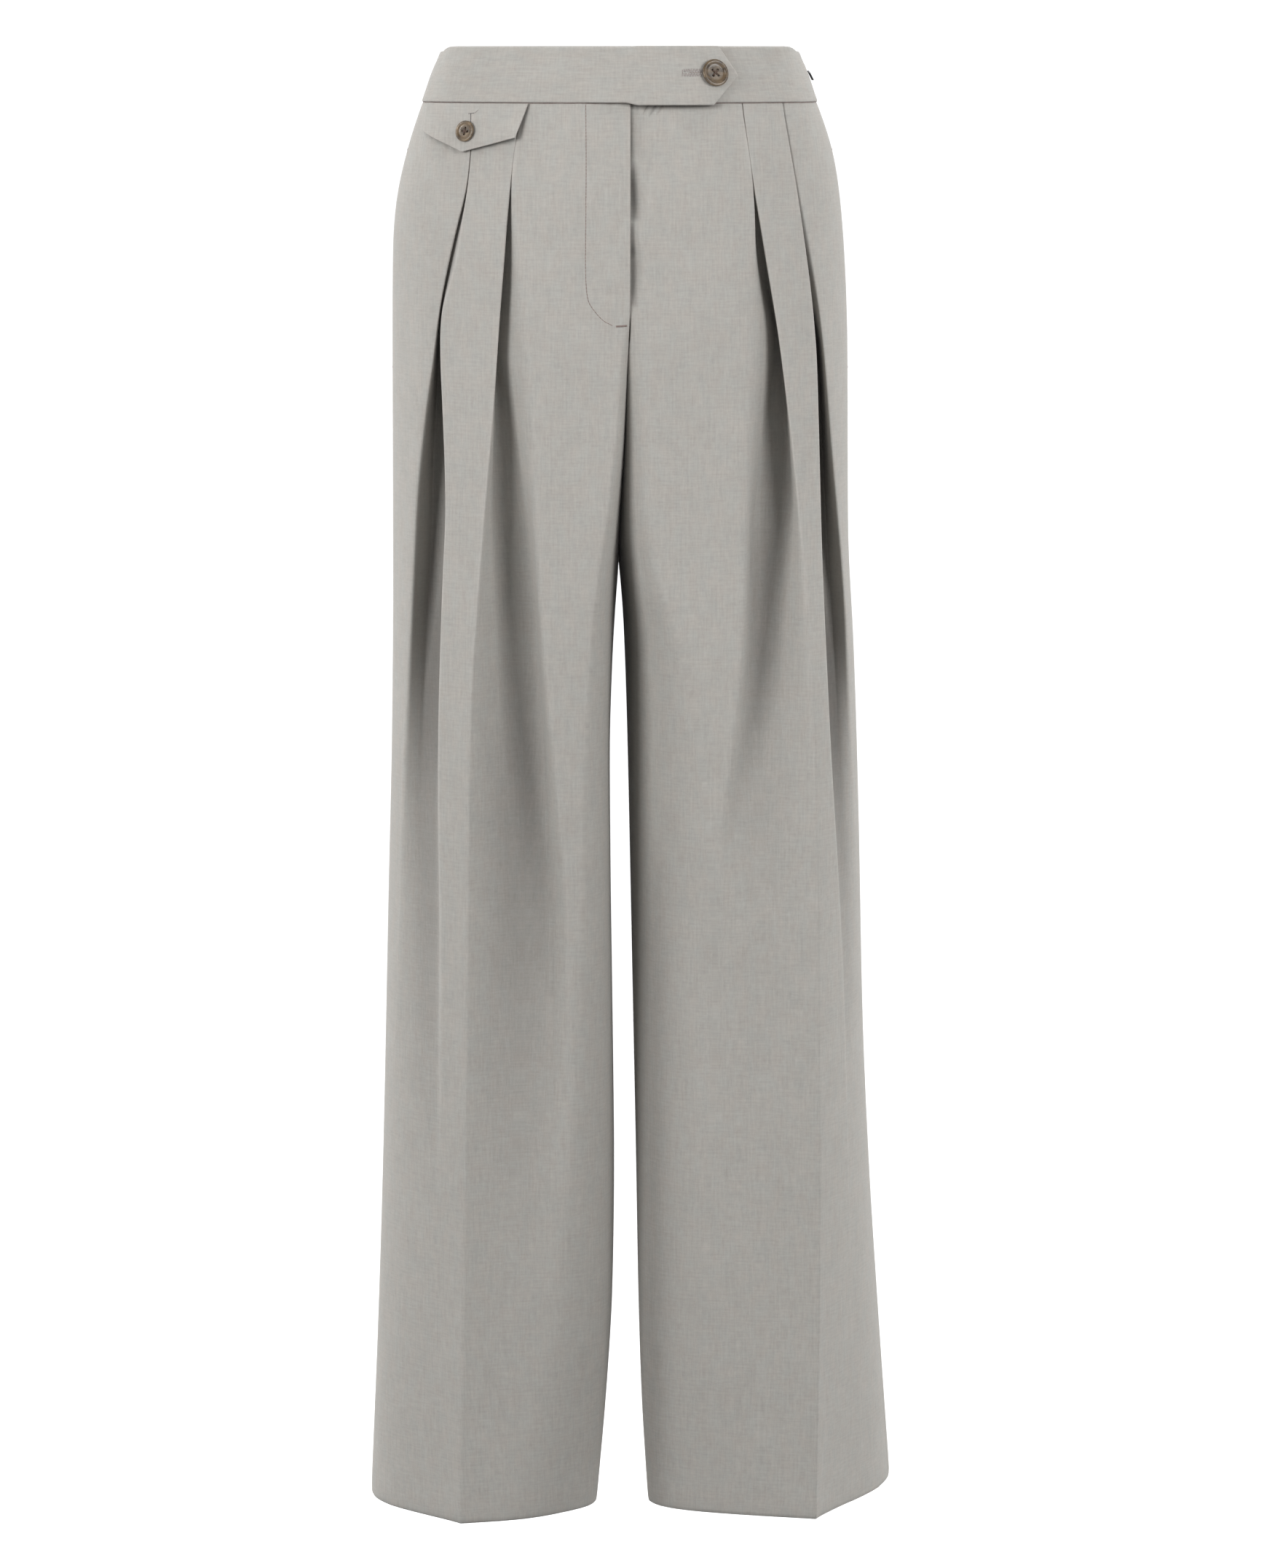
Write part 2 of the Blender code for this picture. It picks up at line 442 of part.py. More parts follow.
def front_row(side, z):
    """A front panel's row as (x outward, reach) points."""
    curve, start, shoulder, end = front_curve(side, z)
    inner = pleat_on(curve, shoulder, INNER_PLEAT[side], z, outward=True)
    outer = pleat_on(curve, shoulder, OUTER_PLEAT[side], z, outward=False)
    path = spread(start, shoulder, TO_SHOULDER) + spread(shoulder, inner[0][0], TO_PLEAT)
    path += inner + spread(inner[-1][0], outer[0][0], ON_STRIP)[1:] + outer
    path += [(s, 0.0) for s in np.linspace(outer[-1][0], end, TO_SIDE + 1)[1:]]
    if side == LEFT:
        sunk = smooth(FLY_LAP, "depth", z)
        path = [(s, d + sunk * (1 - ease((s - 0.008) / FLY_RISE))) for s, d in path]
    return [curve.place(s, d) for s, d in path]


def back_row(side, z):
    """A back panel's row as (x outward, reach) points."""
    curve, start, shoulder, crease, end = back_curve(side, z)
    path = spread(start, shoulder, BACK_WALL) + spread(shoulder, crease, BACK_INNER)
    path += [(s, 0.0) for s in np.linspace(crease, end, BACK_OUTER + 1)]
    return [curve.place(s, d) for s, d in path]


def ease(t):
    """A soft step from 0 to 1."""
    t = min(1.0, max(0.0, t))
    return t * t * (3 - 2 * t)


# ---------------------------------------------------------------- objects
def finish(name, color, roughness):
    material = bpy.data.materials.new(name)
    material.use_nodes = True
    shader = material.node_tree.nodes["Principled BSDF"]
    shader.inputs["Base Color"].default_value = (*color, 1.0)
    shader.inputs["Roughness"].default_value = roughness
    shader.inputs["Metallic"].default_value = 0.0
    return material


def add_object(name, bm, material):
    mesh = bpy.data.meshes.new(name)
    bm.to_mesh(mesh)
    bm.free()
    mesh.materials.append(material)
    mesh.shade_smooth()
    mesh.set_sharp_from_angle(angle=math.radians(40))
    obj = bpy.data.objects.new(name, mesh)
    bpy.context.scene.collection.objects.link(obj)
    return obj


def cloth_wall(name, rows, thickness, material, rim=0.0):
    """A sheet laid through rows of points and thickened evenly to both sides."""
    bm = bmesh.new()
    grid = [[bm.verts.new(point) for point in row] for row in rows]
    for upper, lower in zip(grid, grid[1:]):
        for i in range(len(upper) - 1):
            bm.faces.new((upper[i], lower[i], lower[i + 1], upper[i + 1]))
    obj = add_object(name, bm, material)
    wall = obj.modifiers.new("Wall", "SOLIDIFY")
    wall.thickness = thickness
    wall.offset = 0.0
    wall.use_even_offset = False
    if rim:
        edge = obj.modifiers.new("Soft rim", "BEVEL")
        edge.width = rim
        edge.segments = 2
        edge.limit_method = "ANGLE"
        edge.angle_limit = math.radians(50)
    return obj


def placed(side, point, z, facing):
    """A row's point in space; facing is -1 on a front and +1 on a back."""
    return (OUTWARD[side] * point[0], facing * point[1], z)


def heights(side):
    """The heights of one side's rows, its last one raised to that leg's hem."""
    return ROWS[:-1] + (HEM + HEM_RAISED[side],)


def make_fronts(cloth):
    for side in (RIGHT, LEFT):
        rows = [[placed(side, point, z, -1) for point in front_row(side, z)] for z in heights(side)]
        cloth_wall(f"front_{side}", rows, CLOTH, cloth[f"front_{side}"])


def make_backs(cloth):
    for side in (RIGHT, LEFT):
        rows = [[placed(side, point, z, 1) for point in back_row(side, z)] for z in heights(side)]
        cloth_wall(f"back_{side}", rows, CLOTH, cloth[f"back_{side}"])


# ---------------------------------------------------------------- waistband
BAND_HEIGHTS = (BAND_BOTTOM, 0.0003, 0.0150, BAND_TOP)
BAND_START = 0.006  # the under end starts this far to the left of the front middle
TAB_END = table("z x", (BAND_TOP, 0.0695), (0.0003, 0.0836), (BAND_BOTTOM, 0.0664))
TAB_RISE = 0.0030  # the tab lies this far out from the under end, middle to middle
TAB_RISE_FROM = 0.030  # it starts to rise this far before the front middle
BAND_STEPS, TAB_STEPS = 56, 9


def ring(z):
    """The level curve all round the body: from the front middle by the left side, back and right side."""
    quarters = []
    for side, sizes, facing in ((LEFT, FRONT, -1), (LEFT, BACK, 1), (RIGHT, BACK, 1), (RIGHT, FRONT, -1)):
        arcs = np.vstack(half_section(side, z, sizes[side]))
        arcs[:, 0] -= arcs[0, 0] * np.linspace(1, 0, len(arcs)) ** 4
        arcs = arcs * np.array([OUTWARD[side], facing])
        quarters.append(arcs if len(quarters) % 2 == 0 else arcs[::-1])
    return Curve(np.vstack(quarters))


def band_place(curve, s, out, z):
    """A point on the band's ring, past its end again for the tab, moved outward."""
    point = curve.place(s % curve.length, out)
    return (point[0], point[1], z)


def band_row(z):
    curve = ring(z)
    start = curve.where_x(BAND_START)
    tab_start = curve.length
    tab_end = curve.length + curve.where_x(smooth(TAB_END, "x", z))
    along = list(np.linspace(start, tab_start, BAND_STEPS, endpoint=False))
    along += list(np.linspace(tab_start, tab_end, TAB_STEPS + 1))
    return [band_place(curve, s, TAB_RISE * ease((s - tab_start + TAB_RISE_FROM) / TAB_RISE_FROM), z)
            for s in along]


def make_waistband(material):
    rows = [band_row(z) for z in BAND_HEIGHTS]
    cloth_wall("waistband", rows, BAND_CLOTH, material, rim=0.0007)


# ---------------------------------------------------------------- pocket flap
# The flap's outline from its inner top corner round its point: x outward and height
FLAP_TOP = (0.0649, 0.1385)
FLAP_FOOT = ((0.0729, -0.0450), (0.1123, -0.0555), (0.1405, -0.0414))
FLAP_STEPS = (6, 6)  # points from the inner corner to the point, and on to the outer corner
FLAP_LIFT = 0.0020  # its middle lies this far out from the panel's middle at the seam
FLAP_STAND = 0.0010  # and this much more at its foot


def make_flap(material):
    columns = []
    for (start, end), steps in zip(zip(FLAP_FOOT, FLAP_FOOT[1:]), FLAP_STEPS):
        for t in np.linspace(0.0, 1.0, steps, endpoint=False):
            columns.append(np.array(start) * (1 - t) + np.array(end) * t)
    columns.append(np.array(FLAP_FOOT[-1]))
    first, last = FLAP_FOOT[0][0], FLAP_FOOT[-1][0]
    rows = []
    for down in (0.0, 0.35, 0.7, 1.0):
        row = []
        for foot in columns:
            share = (foot[0] - first) / (last - first)
            top = FLAP_TOP[0] * (1 - share) + FLAP_TOP[1] * share
            x = top * (1 - down) + foot[0] * down
            z = (PANEL_TOP - 0.0004) * (1 - down) + foot[1] * down
            curve, _, shoulder, _ = front_curve(RIGHT, z)
            point = curve.place(curve.where_x(x, shoulder), -FLAP_LIFT - FLAP_STAND * down)
            row.append(placed(RIGHT, point, z, -1))
        rows.append(row)
    cloth_wall("pocket_flap", rows, FLAP_CLOTH, material)


# ---------------------------------------------------------------- buttons
HOLE_ACROSS = 0.0017
BUTTON_SIDES = 28
# radius and height of a button's turned profile, as shares of its radius and its thickness
BUTTON_PROFILE = ((0.0, 0.0), (0.80, 0.0), (0.97, 0.25), (1.0, 0.60), (0.93, 0.95), (0.84, 1.0),
                  (0.74, 0.92), (0.62, 0.66), (0.0, 0.62))


def make_button(name, radius, thickness, hole_spacing, seat, outward, material):
    """A turned button with a rim, a dished middle and four holes, standing on its seat."""
    bm = bmesh.new()
    profile = [bm.verts.new((share * radius, 0.0, height * thickness)) for share, height in BUTTON_PROFILE]
    edges = [bm.edges.new(pair) for pair in zip(profile, profile[1:])]
    bmesh.ops.spin(bm, geom=profile + edges, cent=(0, 0, 0), axis=(0, 0, 1), angle=math.tau,
                   steps=BUTTON_SIDES, use_merge=True, use_duplicate=False)
    bmesh.ops.remove_doubles(bm, verts=bm.verts, dist=1e-6)
    bmesh.ops.recalc_face_normals(bm, faces=bm.faces)
    button = add_object(name, bm, material)
    outward = Vector(outward).normalized()
    across = Vector((0, 0, 1)).cross(outward).normalized()
    turn = Matrix((across, outward.cross(across), outward)).transposed().to_4x4()
    button.matrix_world = Matrix.Translation(seat) @ turn
    holes = bmesh.new()
    for x in (-hole_spacing / 2, hole_spacing / 2):
        for y in (-hole_spacing / 2, hole_spacing / 2):
            bmesh.ops.create_cone(holes, cap_ends=True, segments=10, radius1=HOLE_ACROSS / 2,
                                  radius2=HOLE_ACROSS / 2, depth=4 * thickness,
                                  matrix=Matrix.Translation((x, y, 0)))
    cutter = add_object(f"{name}_holes", holes, material)
    cutter.matrix_world = button.matrix_world
    cutter.hide_render = True
    cutter.display_type = "WIRE"
    cut = button.modifiers.new("Holes", "BOOLEAN")
    cut.object = cutter
    cut.operation = "DIFFERENCE"
    cut.solver = "EXACT"
    return button


WAIST_BUTTON_AT = (0.0664, 0.0009)
WAIST_BUTTON_RADIUS = 0.0100
WAIST_BUTTON_THICKNESS = 0.0030
FLAP_BUTTON_AT = (0.1090, -0.0409)
FLAP_BUTTON_RADIUS = 0.00775
FLAP_BUTTON_THICKNESS = 0.0026
BUTTON_CLEAR = 0.0004


def seat_on(surface, x, z, clear):
    """A place on a cloth face and the direction square to it there, from points around it."""
    step = 0.004
    middle = Vector(surface(x, z))
    across = Vector(surface(x + step, z)) - Vector(surface(x - step, z))
    upward = Vector(surface(x, z + step)) - Vector(surface(x, z - step))
    outward = across.cross(upward).normalized()
    if outward.y > 0:
        outward = -outward
    return middle + clear * outward, outward


def tab_face(x, z):
    """A point on the tab's outer face."""
    curve = ring(z)
    return band_place(curve, curve.where_x(x), TAB_RISE + BAND_CLOTH / 2, z)


def flap_face(x, z):
    """A point on the pocket flap's outer face."""
    curve, _, shoulder, _ = front_curve(RIGHT, z)
    down = (PANEL_TOP - z) / (PANEL_TOP - FLAP_FOOT[1][1])
    out = FLAP_LIFT + FLAP_STAND * down + FLAP_CLOTH / 2
    return placed(RIGHT, curve.place(curve.where_x(x, shoulder), -out), z, -1)


def make_buttons(horn):
    seat, outward = seat_on(tab_face, *WAIST_BUTTON_AT, BUTTON_CLEAR)
    make_button("waist_button", WAIST_BUTTON_RADIUS, WAIST_BUTTON_THICKNESS, 0.0040, seat, outward,
                horn["waist_button"])
    seat, outward = seat_on(flap_face, *FLAP_BUTTON_AT, BUTTON_CLEAR)
    make_button("flap_button", FLAP_BUTTON_RADIUS, FLAP_BUTTON_THICKNESS, 0.0030, seat, outward,
                horn["flap_button"])


# ---------------------------------------------------------------- side tab
SIDE_TAB_HEIGHT = 0.0070
SIDE_TAB_WIDTH = 0.0100
SIDE_TAB_THICKNESS = 0.0016
SIDE_TAB_Z = -0.0045


def make_side_tab(material):
    """A narrow dark tape sewn to the outside of the waistband at the wearer's left side."""
    curve = ring(SIDE_TAB_Z)
    widest = float(curve.along[int(np.argmax(curve.points[:, 0]))])
    out = BAND_CLOTH / 2 + 0.0004 + SIDE_TAB_THICKNESS / 2
    rows = []
    for z in np.linspace(SIDE_TAB_Z + SIDE_TAB_HEIGHT / 2, SIDE_TAB_Z - SIDE_TAB_HEIGHT / 2, 3):
        level = ring(z)
        across = np.linspace(widest - SIDE_TAB_WIDTH / 2, widest + SIDE_TAB_WIDTH / 2, 4)
        rows.append([band_place(level, s, out, z) for s in across])
    cloth_wall("side_tab", rows, SIDE_TAB_THICKNESS, material, rim=0.0004)


def main():
    for old in list(bpy.data.objects):
        bpy.data.objects.remove(old, do_unlink=True)
    panels = ("front_right", "front_left", "back_right", "back_left")
    cloth = {name: finish(f"{name}_cloth", (0.42, 0.41, 0.39), 0.85) for name in panels}
    horn = {name: finish(f"{name}_horn", (0.16, 0.12, 0.09), 0.35) for name in ("waist_button", "flap_button")}
    make_fronts(cloth)
    make_backs(cloth)
    make_waistband(finish("waistband_cloth", (0.42, 0.41, 0.39), 0.85))
    make_flap(finish("pocket_flap_cloth", (0.42, 0.41, 0.39), 0.85))
    make_buttons(horn)
    make_side_tab(finish("side_tab_tape", (0.02, 0.02, 0.02), 0.6))


main()
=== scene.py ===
import math

import bmesh
import bpy
import numpy as np
from mathutils import Matrix, Vector
from mathutils.bvhtree import BVHTree


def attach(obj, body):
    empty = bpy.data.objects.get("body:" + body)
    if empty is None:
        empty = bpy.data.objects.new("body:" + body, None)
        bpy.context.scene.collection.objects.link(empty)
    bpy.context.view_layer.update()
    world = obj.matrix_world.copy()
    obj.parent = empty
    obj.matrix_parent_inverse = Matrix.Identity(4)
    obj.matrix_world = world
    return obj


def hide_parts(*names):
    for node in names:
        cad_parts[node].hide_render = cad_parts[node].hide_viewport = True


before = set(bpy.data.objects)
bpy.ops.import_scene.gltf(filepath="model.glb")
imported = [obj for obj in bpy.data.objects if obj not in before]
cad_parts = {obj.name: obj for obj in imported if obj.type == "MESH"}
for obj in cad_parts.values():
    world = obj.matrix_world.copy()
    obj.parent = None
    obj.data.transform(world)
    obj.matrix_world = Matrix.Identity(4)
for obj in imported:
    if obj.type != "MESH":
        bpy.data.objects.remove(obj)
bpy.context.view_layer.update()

# ---------------------------------------------------------------------------------------- the room
# A plain pale floor under the hems, a white backdrop, an even surround and two soft lamps in front, with
# the camera at the height of the waistband, 4 m off and tipped down a little.
WHITE = (1.0, 1.0, 1.0, 1.0)
CAMERA_PLACE = (0.009, -4.0, 0.0285)
CAMERA_TIPPED_DOWN = math.radians(7.9)
CAMERA_LENS, CAMERA_SENSOR = 123.99, 36.0
FLOOR_HEIGHT, FLOOR_REACH = -1.250, 60.0
BACKDROP_RADIUS, BACKDROP_GLOW = 50.0, 1.1
LAMP_SIZE, LAMPS_AIM = 1.2, Vector((0.0, 0.0, -0.50))
LAMPS = (("right_lamp", (1.85, -1.78, 0.44), 42.5), ("left_lamp", (-1.90, -1.70, 0.44), 48.0))
# The surround is brighter behind than in front and dimmer from below: the axis of a direction, between
# which two values of it the strength changes, and the strength at each
SURROUND = (("Y", -0.35, 0.45, 0.42, 1.95), ("Z", -0.10, 0.05, 0.35, 1.0))


def linked(name, data):
    """A new object with the given data, put into the scene."""
    obj = bpy.data.objects.new(name, data)
    bpy.context.scene.collection.objects.link(obj)
    return obj


def mesh_of(name, bm, material, smooth=True):
    """A mesh with one material, made from a bmesh that is done with."""
    mesh = bpy.data.meshes.new(name)
    bm.to_mesh(mesh)
    bm.free()
    mesh.materials.append(material)
    if smooth:
        mesh.shade_smooth()
    return mesh


def finish(name, settings):
    """A material whose shader's own sockets are set as given, with its node tree and its shader."""
    material = bpy.data.materials.new(name)
    material.use_nodes = True
    shader = material.node_tree.nodes["Principled BSDF"]
    for socket, value in settings.items():
        shader.inputs[socket].default_value = value
    return material, material.node_tree, shader


def node(tree, kind, sockets=None, **settings):
    """A shader node with the given settings, and its sockets filled with values or linked to outputs."""
    made = tree.nodes.new(kind)
    for key, value in settings.items():
        setattr(made, key, value)
    for socket, value in (sockets or {}).items():
        if isinstance(value, bpy.types.NodeSocket):
            tree.links.new(value, made.inputs[socket])
        else:
            made.inputs[socket].default_value = value
    return made


def worked(tree, operation, *values, clamp=False):
    """The outcome of a Math node on one or two values."""
    made = node(tree, "ShaderNodeMath", dict(enumerate(values)), operation=operation, use_clamp=clamp)
    return made.outputs[0]


def make_camera():
    """The camera, looking level along +Y and tipped down."""
    data = bpy.data.cameras.new("camera")
    data.sensor_width = CAMERA_SENSOR
    data.lens = CAMERA_LENS
    camera = linked("camera", data)
    camera.location = CAMERA_PLACE
    camera.rotation_euler = (math.pi / 2 - CAMERA_TIPPED_DOWN, 0.0, 0.0)
    bpy.context.scene.camera = camera


def make_floor():
    """A pale matt floor that throws no light back on the cloth."""
    bm = bmesh.new()
    bmesh.ops.create_grid(bm, x_segments=2, y_segments=2, size=FLOOR_REACH,
                          matrix=Matrix.Translation((0.0, 0.0, FLOOR_HEIGHT)))
    paint = finish("pale_floor", {"Base Color": (0.93, 0.93, 0.93, 1.0), "Roughness": 0.9,
                                  "Specular IOR Level": 0.1})[0]
    floor = linked("floor", mesh_of("floor", bm, paint, smooth=False))
    floor.visible_diffuse = False


def make_backdrop():
    """A plain white backdrop all round, that lights nothing and throws no shadow."""
    bm = bmesh.new()
    bmesh.ops.create_uvsphere(bm, u_segments=48, v_segments=24, radius=BACKDROP_RADIUS)
    paper = finish("white_backdrop", {"Base Color": (0.0, 0.0, 0.0, 1.0), "Specular IOR Level": 0.0,
                                      "Emission Color": WHITE, "Emission Strength": BACKDROP_GLOW})[0]
    backdrop = linked("backdrop", mesh_of("backdrop", bm, paper))
    backdrop.visible_diffuse = False
    backdrop.visible_glossy = False
    backdrop.visible_transmission = False
    backdrop.visible_shadow = False


def make_lamp(name, place, power):
    """A square soft lamp, aimed at the thighs."""
    data = bpy.data.lights.new(name, "AREA")
    data.size = LAMP_SIZE
    data.energy = power
    lamp = linked(name, data)
    lamp.location = place
    lamp.rotation_euler = (LAMPS_AIM - Vector(place)).to_track_quat("-Z", "Y").to_euler()


def make_surround():
    """A white surround whose strength fades from one direction to another."""
    world = bpy.data.worlds.new("white_surround")
    world.use_nodes = True
    tree = world.node_tree
    way = node(tree, "ShaderNodeSeparateXYZ", {0: node(tree, "ShaderNodeTexCoord").outputs["Generated"]})
    fades = [node(tree, "ShaderNodeMapRange",
                  {"Value": way.outputs[axis], "From Min": near, "From Max": far, "To Min": low,
                   "To Max": high}).outputs[0] for axis, near, far, low, high in SURROUND]
    background = tree.nodes["Background"]
    background.inputs["Color"].default_value = WHITE
    tree.links.new(worked(tree, "MULTIPLY", *fades), background.inputs["Strength"])
    bpy.context.scene.world = world


make_camera()
make_floor()
make_backdrop()
for lamp in LAMPS:
    make_lamp(*lamp)
make_surround()
bpy.context.scene.view_settings.view_transform = "Standard"

# ---------------------------------------------------------------------------------------- front panels
# Two fronts in a light plain-woven cloth of melange yarn. Each is folded into two inward pleats that
# are stitched down for 6 cm under the waist seam, and carries a pressed crease down to the hem. Their
# edges are turned in at the seams, and the right front laps over the left one at the fly.
RIGHT, LEFT = "right", "left"
OUTWARD = {RIGHT: -1.0, LEFT: 1.0}  # the sign of x on each side of the wearer
PANEL_TOP, HEM = -0.0204, -1.066
HEM_RAISED = {RIGHT: 0.0, LEFT: 0.0035}  # the left hem hangs a little higher
FORK = -0.360  # where the legs part
SEAM_GAP = 0.00015  # a panel stops this short of its seams
SHEET_THICK = 0.0005  # the cloth
ARC_STEPS = 90  # points on a plan arc of a panel
ARC_PULL, ARC_PULL_TURNED = 0.34, 0.21  # how full such an arc is, and how much more as it turns
STEADY = np.array([-0.014, -0.007, 0.0, 0.007, 0.014])  # heights that a size is evened out over
STEADY_WEIGHTS = np.array([1, 4, 6, 4, 1]) / 16


def table(columns, *rows):
    """A table with named columns, its first column the height z, read from the top down."""
    values = np.array(rows, float)[::-1]
    heights = values[:, 0]
    step = np.diff(heights)[:, None]
    slope = np.diff(values, axis=0) / step
    tangent = np.zeros_like(values)
    tangent[0], tangent[-1] = slope[0], slope[-1]
    near, far = 2 * step[1:] + step[:-1], step[1:] + 2 * step[:-1]
    before, after = slope[:-1], slope[1:]
    same_way = before * after > 0
    before, after = np.where(same_way, before, 1.0), np.where(same_way, after, 1.0)
    tangent[1:-1] = np.where(same_way, (near + far) / (near / before + far / after), 0.0)
    return {"columns": columns.split(), "heights": heights, "values": values, "tangent": tangent}


def exact(sizes, column, z):
    """A column's values at heights z, on a curve that never overshoots the rows beside it."""
    heights, k = sizes["heights"], sizes["columns"].index(column)
    z = np.clip(z, heights[0], heights[-1])
    i = np.clip(np.searchsorted(heights, z) - 1, 0, len(heights) - 2)
    step = heights[i + 1] - heights[i]
    t = (z - heights[i]) / step
    low, high = sizes["values"][i, k], sizes["values"][i + 1, k]
    low_slope, high_slope = sizes["tangent"][i, k], sizes["tangent"][i + 1, k]
    return ((1 + 2 * t) * (1 - t) ** 2 * low + t * (1 - t) ** 2 * step * low_slope
            + t * t * (3 - 2 * t) * high + t * t * (t - 1) * step * high_slope)


def smooth(sizes, column, z):
    """A column's value at one height, evened out over the heights beside it."""
    return float(STEADY_WEIGHTS @ exact(sizes, column, z + STEADY))


# The line where the right front lies over the left one, and where the legs meet
MEETING = table("z x", (0.020, 0.0080), (-0.168, 0.0076), (-0.205, 0.0058), (-0.260, 0.0037),
                (-0.312, 0.0006), (-0.350, -0.0010), (FORK, -0.0010))
# How far the left front runs on under the right one, how deep it lies, how wide that dip is past the
# fly's edge, and over what width it comes up again
FLY_LAP = table("z lap depth dip rise",
                (0.020, 0.0060, 0.0024, 0.0060, 0.018), (-0.045, 0.0060, 0.0026, 0.0070, 0.016),
                (-0.070, 0.0060, 0.0036, 0.0080, 0.010), (-0.092, 0.0060, 0.0042, 0.0075, 0.006),
                (-0.104, 0.0060, 0.0032, 0.0015, 0.005), (-0.113, 0.0060, 0.0030, 0.0010, 0.005),
                (-0.128, 0.0060, 0.0040, 0.0040, 0.006), (-0.146, 0.0060, 0.0040, 0.0050, 0.006),
                (-0.158, 0.0060, 0.0028, 0.0020, 0.006), (-0.168, -0.0003, 0.0022, 0.0, 0.008),
                (-0.205, -0.0003, 0.0, 0.0, 0.010), (FORK, -0.0003, 0.0, 0.0, 0.010))
# Innermost place of each leg below the fork
LEG_INSIDE = {
    RIGHT: table("z x", (FORK, 0.0010), (-0.394, 0.0037), (-0.440, 0.0062), (-0.500, 0.0078),
                 (-0.590, 0.0072), (-0.700, 0.0057), (-0.811, 0.0046), (-0.900, 0.0058),
                 (-0.978, 0.0102), (HEM, 0.0178)),
    LEFT: table("z x", (FORK, -0.0007), (-0.394, 0.0023), (-0.440, 0.0043), (-0.500, 0.0060),
                (-0.590, 0.0079), (-0.700, 0.0101), (-0.811, 0.0123), (-0.900, 0.0138),
                (-0.978, 0.0161), (HEM, 0.0213)),
}
SEAT_LAP = 0.0012  # the seat seam is drawn tight: the left back reaches this far into the right one
# Silhouette: the outermost place of each side, and how far behind the centre plane it lies
SIDE = {
    RIGHT: table("z x y", (0.0200, 0.1285, 0.002), (0.0150, 0.1322, 0.002), (-0.0200, 0.1442, 0.002),
                 (-0.042, 0.1521, 0.003), (-0.063, 0.1581, 0.004), (-0.084, 0.1630, 0.005),
                 (-0.106, 0.1660, 0.006), (-0.127, 0.1672, 0.007), (-0.202, 0.1680, 0.008),
                 (-0.375, 0.1684, 0.004), (-0.484, 0.1697, 0.000), (-0.594, 0.1726, -0.003),
                 (-0.817, 0.1784, -0.008), (-0.929, 0.1824, -0.010), (HEM, 0.1886, -0.012)),
    LEFT: table("z x y", (0.0200, 0.1285, 0.002), (0.0150, 0.1322, 0.002), (-0.0200, 0.1440, 0.002),
                (-0.042, 0.1522, 0.003), (-0.063, 0.1579, 0.004), (-0.084, 0.1612, 0.005),
                (-0.106, 0.1636, 0.006), (-0.127, 0.1652, 0.007), (-0.159, 0.1670, 0.008),
                (-0.202, 0.1682, 0.008), (-0.332, 0.1690, 0.006), (-0.419, 0.1733, 0.005),
                (-0.539, 0.1778, 0.008), (-0.705, 0.1825, 0.014), (-0.817, 0.1882, 0.020),
                (-0.929, 0.1960, 0.026), (HEM, 0.2065, 0.032)),
}
